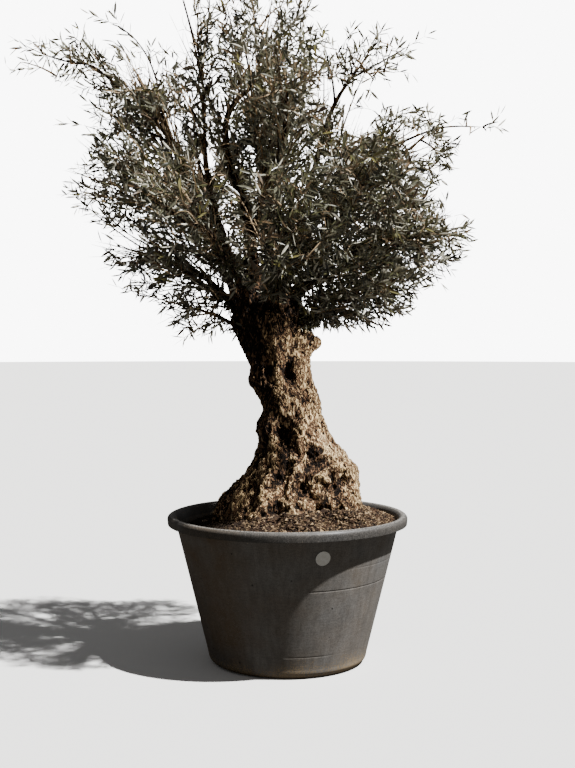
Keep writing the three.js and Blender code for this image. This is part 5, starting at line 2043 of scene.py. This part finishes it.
@dataclass(frozen=True)
class TubSoil:
    """Coarse bark compost, dry on top: brown crumbs with pale bits of wood, and a painted shadow that
    darkens it to the left.
    """

    dark: str = "#1b1410"
    brown: str = "#473324"
    pale: str = "#a28a6a"
    shadow_from: float = -0.13  # how far to the left the painted shadow begins and is full, in metres
    shadow_to: float = -0.33

    def make(self, name: str, paleness: float) -> bpy.types.Material:
        """Makes the material. Each crumb carries its own tone, which makes it darker or lighter.

        Args:
            name: the material's name.
            paleness: how much of the pale tint shows, from 0 to 1.

        Returns:
            The material.
        """
        material, tree = new_material(name)
        place = add_node(tree, "TexCoord", {}, "Object")
        crumbs = add_node(
            tree, "TexNoise", {"Vector": place, "Scale": 95.0, "Detail": 6.0, "Roughness": 0.75}
        )
        bits = add_node(tree, "TexVoronoi", {"Vector": place, "Scale": 110.0}, None)
        tone = add_node(tree, "Attribute", {}, "Fac", attribute_name="tone")
        toned = add_node(tree, "Math", {0: tone, 1: 0.45, 2: crumbs}, operation="MULTIPLY_ADD")
        brown = add_node(tree, "MapRange", {"Value": toned, "From Min": 0.52, "From Max": 0.92})
        base = add_node(tree, "Mix", {"Factor": brown, 6: self.dark, 7: self.brown}, 2, data_type="RGBA")
        pick_pale = add_node(tree, "SeparateColor", {"Color": bits["Color"]})
        pale_spots = add_node(
            tree, "MapRange", {"Value": pick_pale, "From Min": 1 - paleness, "From Max": 1.0, "To Max": 0.6}
        )
        pale = add_node(
            tree, "MapRange", {"Value": tone, "From Min": 1 - paleness, "From Max": 1.0,
            "To Min": pale_spots, "To Max": 0.95}
        )
        dry = add_node(tree, "Mix", {"Factor": pale, 6: base, 7: self.pale}, 2, data_type="RGBA")
        across = add_node(tree, "SeparateXYZ", {"Vector": place})
        # Painted shadow: the soil turns dark towards the left, where the trunk and the crown shade it.
        painted_shadow = add_node(
            tree, "MapRange", {"Value": across, "From Min": self.shadow_to, "From Max": self.shadow_from,
            "To Min": 0.82, "To Max": 0.0}, interpolation_type="SMOOTHSTEP"
        )
        colour = add_node(tree, "Mix", {"Factor": painted_shadow, 6: dry, 7: self.dark}, 2, data_type="RGBA")
        bump = add_node(tree, "Bump", {"Height": crumbs, "Distance": 4 * MM, "Strength": 0.8})
        shader = add_node(
            tree, "BsdfPrincipled", {"Base Color": colour, "Roughness": 0.95, "Specular IOR Level": 0.2,
            "Normal": bump}
        )
        add_node(tree, "OutputMaterial", {"Surface": shader}, None)
        return material


@dataclass
class Soil:
    """The soil that fills the tub, with crumbs and bits of wood lying on it."""

    tub: Tub
    trunk: TrunkForm
    sides: int = 240
    ring_step: float = 8.0
    seat_radius: float = 440.0
    edge_drop: float = 24.0
    heap: float = 76.0  # how much higher the soil lies against the trunk's seen side
    heap_width: float = 92.0
    tilt: float = 25.0  # how much higher it lies at the tub's right than in the middle
    heap_least: float = 12.0
    heap_turn: float = 18.0  # degrees that the heap's middle is turned from the seen side
    crumbs: int = 15000
    crumb_sizes: tuple[float, float, float] = (2.2, 8.5, 2.6)  # the least, what chance adds, and its power
    chips: int = 900
    chip_lengths: tuple[float, float, float] = (12, 42, 1.8)
    chip_halves: tuple[float, float, float] = (1.3, 2.6, 2)
    chip_lift: float = 3.0
    bed_tone: float = 0.3

    def top_at(self, x: np.ndarray, y: np.ndarray) -> np.ndarray:
        """The height of the soil's surface."""
        radius = np.hypot(x, y)
        edge = self.tub.outside(SOIL_HEIGHT - self.edge_drop) - self.tub.wall
        fall = np.clip((radius - self.seat_radius) / (edge - self.seat_radius), 0, 1)
        rough = np.array(
            [
                noise.fractal(Vector((a / 40, b / 40, 3.0)), 0.6, 2.1, 5) * 7.5
                + noise.noise(Vector((a / 150, b / 150, 8.0))) * 7
                for a, b in zip(x, y)
            ]
        )
        level = np.full_like(x, SOIL_HEIGHT + self.heap)
        out = x - self.trunk.value(level, 1)
        gap = np.hypot(out, y) - self.trunk.radius(np.arctan2(y, out), level)
        front = (0.5 - 0.5 * np.sin(np.arctan2(y, x) - math.radians(self.heap_turn))) ** 3
        heap = (self.heap_least + self.heap * front) * np.exp(-((np.maximum(gap, 0) / self.heap_width) ** 2))
        return SOIL_HEIGHT - self.edge_drop * fall + rough + heap + self.tilt * x / edge

    def build(self) -> None:
        """Builds the soil and what lies on it."""
        for piece, paleness in ((self._bed(), 0.16), (self._crumbs(), 0.22), (self._chips(), 0.7)):
            piece.data.materials.append(TubSoil().make(f"bark_compost_{piece.name}", paleness))
            finish_piece(piece, ["soil"])

    def _bed(self) -> bpy.types.Object:
        """Models the bed: a turned solid whose top is inset ring by ring, then roughened."""
        floor = self.tub.floor + GAP
        edge = SOIL_HEIGHT - self.edge_drop
        inside = [
            (self.tub.base_radius - 2 * GAP, floor),
            (self.tub.foot_radius - self.tub.wall - 2 * GAP, self.tub.foot_height),
        ]
        rim = self.tub.outside(edge) - self.tub.wall - 2 * GAP
        rings = [*inside, (rim, edge)]
        radius = rim - 2
        while radius > 30:
            rings.append((radius, SOIL_HEIGHT))
            radius -= self.ring_step
        bed = turned_solid("soil_bed", rings, self.sides)
        points = points_of(bed)
        radius = np.hypot(points[:, 0], points[:, 1])
        top = (points[:, 2] > edge + 1) | (radius > rim - 1) & (points[:, 2] > edge - 1)
        points[top, 2] = self.top_at(points[top, 0], points[top, 1])
        points[top & (radius > rim - 1), 2] -= 3
        move_points(bed, points)
        pick(bed)
        bpy.ops.object.shade_smooth_by_angle(angle=math.radians(60))
        store_values(bed, "tone", np.full(len(points), self.bed_tone))
        return bed

    def _spots(self, draws: np.random.Generator, count: int, margin: float) -> np.ndarray:
        """Random places on the soil outside the trunk, each with its height."""
        inside = self.tub.outside(SOIL_HEIGHT - self.edge_drop) - self.tub.wall - margin
        radius = inside * np.sqrt(draws.random(count * 4))
        turn = draws.random(count * 4) * 2 * math.pi
        x, y = radius * np.cos(turn), radius * np.sin(turn)
        foot = np.full_like(x, SOIL_HEIGHT)
        centre = self.trunk.value(foot, 1)
        angle = np.arctan2(y, x - centre)
        free = np.hypot(x - centre, y) > self.trunk.radius(angle, foot) - 12
        x, y = x[free][:count], y[free][:count]
        return np.column_stack([x, y, self.top_at(x, y)])

    @staticmethod
    def skewed(draws: np.random.Generator, count: int, sizes: tuple[float, float, float]) -> np.ndarray:
        """Random sizes: the least one, and what chance adds to it, of which little is the commonest."""
        least, more, power = sizes
        return least + more * draws.random(count) ** power

    def _crumbs(self) -> bpy.types.Object:
        """Scatters rough crumbs over the soil."""
        draws = np.random.default_rng(77)
        spots = self._spots(draws, self.crumbs, 12)
        unit_points = np.vstack([np.eye(3), -np.eye(3)])
        faces = []
        for i in range(8):
            below = [i >> axis & 1 for axis in range(3)]
            face = [axis + 3 * below[axis] for axis in range(3)]
            faces.append(face[::-1] if sum(below) % 2 else face)
        faces = np.array(faces)
        sizes = self.skewed(draws, len(spots), self.crumb_sizes)
        stretch = 0.6 + np.array([1.5, 0.5, 0.6]) * draws.random((len(spots), 1, 3))
        wobble = 1 + 0.22 * draws.normal(size=(len(spots), len(unit_points), 1))
        points = unit_points[None] * stretch * wobble * sizes[:, None, None]
        turn = draws.random((len(spots), 1)) * math.pi
        flat = points[..., 0] * np.cos(turn) - points[..., 1] * np.sin(turn)
        points[..., 1] = points[..., 0] * np.sin(turn) + points[..., 1] * np.cos(turn)
        points[..., 0] = flat
        points = points + spots[:, None, :] + np.array([0, 0, 1.0]) * (sizes * 0.25)[:, None, None]
        triangles = faces[None] + len(unit_points) * np.arange(len(spots))[:, None, None]
        piece = piece_from_arrays("crumbs", points.reshape(-1, 3), triangles.reshape(-1, 3))
        store_values(piece, "tone", np.repeat(draws.random(len(spots)), len(unit_points)))
        return piece

    def _chips(self) -> bpy.types.Object:
        """Scatters bits of wood and dry leaves over the soil."""
        draws = np.random.default_rng(78)
        spots = self._spots(draws, self.chips, 30)
        turn = draws.random(len(spots)) * 2 * math.pi
        tilt = draws.normal(0, 0.22, len(spots))
        along = unit(np.column_stack([np.cos(turn), np.sin(turn), np.sin(tilt)]))
        side = unit(np.cross(np.array([0, 0, 1.0]), along))
        normal = np.cross(along, side)
        length = self.skewed(draws, len(spots), self.chip_lengths)
        half = self.skewed(draws, len(spots), self.chip_halves)
        box = np.array([[a, b, c] for a in (-0.5, 0.5) for b in (-1, 1) for c in (-0.4, 0.4)], float)
        box[:, 1] *= 1 - 0.5 * (box[:, 0] > 0)
        spans = [share * size[:, None] for share, size in zip(box.T, (length, half, half))]
        points = copies_of(spots + np.array([0, 0, self.chip_lift]), (along, side, normal), spans)
        quads = [[0, 1, 3, 2], [4, 6, 7, 5], [0, 4, 5, 1], [2, 3, 7, 6], [0, 2, 6, 4], [1, 5, 7, 3]]
        faces = np.array([[q[0], q[1], q[2]] for q in quads] + [[q[0], q[2], q[3]] for q in quads])
        triangles = faces[None] + 8 * np.arange(len(spots))[:, None, None]
        piece = piece_from_arrays("wood_bits", points, triangles.reshape(-1, 3))
        store_values(piece, "tone", np.repeat(draws.random(len(spots)), 8))
        return piece


@dataclass(frozen=True)
class TagPlastic:
    """White polystyrene sheet: smooth, a little yellowed and dusty."""

    white: str = "#f7f6f0"
    dust: str = "#dcd7ca"

    def make(self) -> bpy.types.Material:
        """Makes the material."""
        material, tree = new_material("white_polystyrene")
        place = add_node(tree, "TexCoord", {}, "Object")
        clouds = add_node(tree, "TexNoise", {"Vector": place, "Scale": 60.0, "Detail": 4.0})
        dusty = add_node(
            tree, "MapRange", {"Value": clouds, "From Min": 0.4, "From Max": 0.75, "To Max": 0.6}
        )
        colour = add_node(tree, "Mix", {"Factor": dusty, 6: self.white, 7: self.dust}, 2, data_type="RGBA")
        shader = add_node(tree, "BsdfPrincipled", {"Base Color": colour, "Roughness": 0.4})
        add_node(tree, "OutputMaterial", {"Surface": shader}, None)
        return material


@dataclass
class PlantTag:
    """The round tag on the tub's wall: a thin disc with a raised edge."""

    tub: Tub
    radius: float = 36.0
    thick: float = 2.5
    edge: float = 3.5
    height: float = 602.0
    turn: float = 17.8  # degrees from the middle of the seen side

    def build(self) -> bpy.types.Object:
        """Builds the tag and lays it along the wall."""
        profile = [
            (self.radius - 0.6, 0.0),
            (self.radius, 0.6),
            (self.radius, self.thick - 0.7),
            (self.radius - 0.8, self.thick),
            (self.radius - self.edge + 0.8, self.thick),
            (self.radius - self.edge, self.thick - 0.9),
            (self.radius * 0.5, self.thick - 0.9),
        ]
        tag = turned_solid("round_tag", profile, 64)
        slope = math.atan2(
            self.tub.top_radius - self.tub.foot_radius,
            self.tub.height - self.tub.rim_depth - self.tub.foot_height,
        )
        facing = math.radians(self.turn - 90)
        outwards = np.array([math.cos(facing), math.sin(facing), 0.0])
        normal = outwards * math.cos(slope) - np.array([0, 0, math.sin(slope)])
        right = np.array([-math.sin(facing), math.cos(facing), 0.0])
        up = np.cross(normal, right)
        points = points_of(tag)
        seat = outwards * (self.tub.outside(self.height) + 1.0) + np.array([0, 0, self.height])
        placed = seat + points[:, :1] * right + points[:, 1:2] * up + points[:, 2:] * normal
        move_points(tag, placed)
        pick(tag)
        bpy.ops.object.shade_smooth_by_angle(angle=math.radians(35))
        tag.data.materials.append(TagPlastic().make())
        finish_piece(tag, ["plant_tag"])
        return tag


# The studio


@dataclass
class Studio:
    """A plain pale floor, soft light from the upper right, and the camera at the photograph's place."""

    camera_distance: float = 6.0
    camera_height: float = 1.65
    pitch: float = 2.53  # degrees downwards
    lens: float = 56.25  # for a frame 36 mm high
    key_azimuth: float = 64.0  # degrees to the right of the camera
    key_elevation: float = 60.0
    key_strength: float = 11.0
    key_softness: float = 1.0  # degrees that the light spans
    spot_place: tuple[float, float, float] = (3.3, -1.5, 1.3)
    spot_aim: tuple[float, float, float] = (-0.02, 0.0, 1.37)
    spot_power: float = 1150.0
    spot_cone: float = 11.5  # degrees across
    spot_radius: float = 0.08
    floor_colour: str = "#f4f3f0"
    floor_bounce: str = "#454340"  # what the floor throws back, so that the shadows stay deep
    backdrop: float = 9.0
    fill: float = 0.135

    def build(self) -> None:
        """Builds the floor, the light and the camera."""
        self._floor()
        self._light()
        self._camera()

    def _floor(self) -> None:
        """A wide floor at the tub's underside."""
        deselect()
        bpy.ops.mesh.primitive_circle_add(vertices=96, radius=60, fill_type="NGON", location=(0, 0, -0.001))
        floor = bpy.context.object
        floor.name = "studio_floor"
        bpy.ops.object.transform_apply(location=True, rotation=False, scale=False)
        material, tree = new_material("pale_paper_floor")
        seen = add_node(tree, "LightPath")
        colour = add_node(
            tree, "Mix", {"Factor": seen, 6: self.floor_bounce, 7: self.floor_colour}, 2, data_type="RGBA"
        )
        shader = add_node(
            tree, "BsdfPrincipled", {"Base Color": colour, "Roughness": 1.0, "Specular IOR Level": 0.0}
        )
        add_node(tree, "OutputMaterial", {"Surface": shader}, None)
        floor.data.materials.append(material)

    def _light(self) -> None:
        """The key light, a spot that reaches the trunk under the crown, and the even light of the room."""
        self._key()
        self._spot()
        world = bpy.data.worlds.new("pale_room")
        bpy.context.scene.world = world
        world.use_nodes = True
        tree = world.node_tree
        tree.nodes.clear()
        seen = add_node(tree, "LightPath")
        wall = add_node(tree, "Background", {"Color": (1, 1, 1, 1), "Strength": self.backdrop})
        room = add_node(tree, "Background", {"Color": (0.98, 0.98, 1.0, 1), "Strength": self.fill})
        both = add_node(tree, "MixShader", {0: seen, 1: room, 2: wall})
        add_node(tree, "OutputWorld", {"Surface": both}, None)

    def _key(self) -> None:
        """The key light: one far lamp."""
        light = bpy.data.lights.new("key", "SUN")
        light.energy = self.key_strength
        light.angle = math.radians(self.key_softness)
        across, up = math.radians(self.key_azimuth), math.radians(self.key_elevation)
        towards = Vector(
            (math.sin(across) * math.cos(up), -math.cos(across) * math.cos(up), math.sin(up))
        )
        self._place_lamp(light, towards * 10, Vector())

    def _spot(self) -> None:
        """The spot on the upper trunk, with a soft edge that fades before the tub."""
        light = bpy.data.lights.new("spot", "SPOT")
        light.energy = self.spot_power
        light.spot_size = math.radians(self.spot_cone)
        light.spot_blend = 0.6
        light.shadow_soft_size = self.spot_radius
        self._place_lamp(light, Vector(self.spot_place), Vector(self.spot_aim))

    @staticmethod
    def _place_lamp(light: bpy.types.Light, place: Vector, aim: Vector) -> None:
        """Puts a lamp at a place, pointing at another."""
        lamp = bpy.data.objects.new(f"{light.name}_lamp", light)
        bpy.context.scene.collection.objects.link(lamp)
        lamp.location = place
        lamp.rotation_euler = (place - aim).to_track_quat("Z", "Y").to_euler()

    def _camera(self) -> None:
        """The camera, level with the crown's foot and tipped a little down."""
        lens = bpy.data.cameras.new("camera")
        lens.sensor_fit = "VERTICAL"
        lens.sensor_height = 36
        lens.sensor_width = 36
        lens.lens = self.lens
        camera = bpy.data.objects.new("camera", lens)
        bpy.context.scene.collection.objects.link(camera)
        camera.location = (0, -self.camera_distance, self.camera_height)
        camera.rotation_euler = (math.radians(90 - self.pitch), 0, 0)
        bpy.context.scene.camera = camera


def main() -> None:
    """Builds the tree, its tub and the studio."""
    logging.basicConfig(level=logging.INFO, format="%(relativeCreated)d ms %(message)s")
    Studio().build()
    skeleton = Skeleton()
    tub = Tub()
    tub.build()
    Soil(tub, skeleton.trunk).build()
    PlantTag(tub).build()
    Wood(skeleton).build()
    Foliage(skeleton).build()


if __name__ == "__main__":
    main()
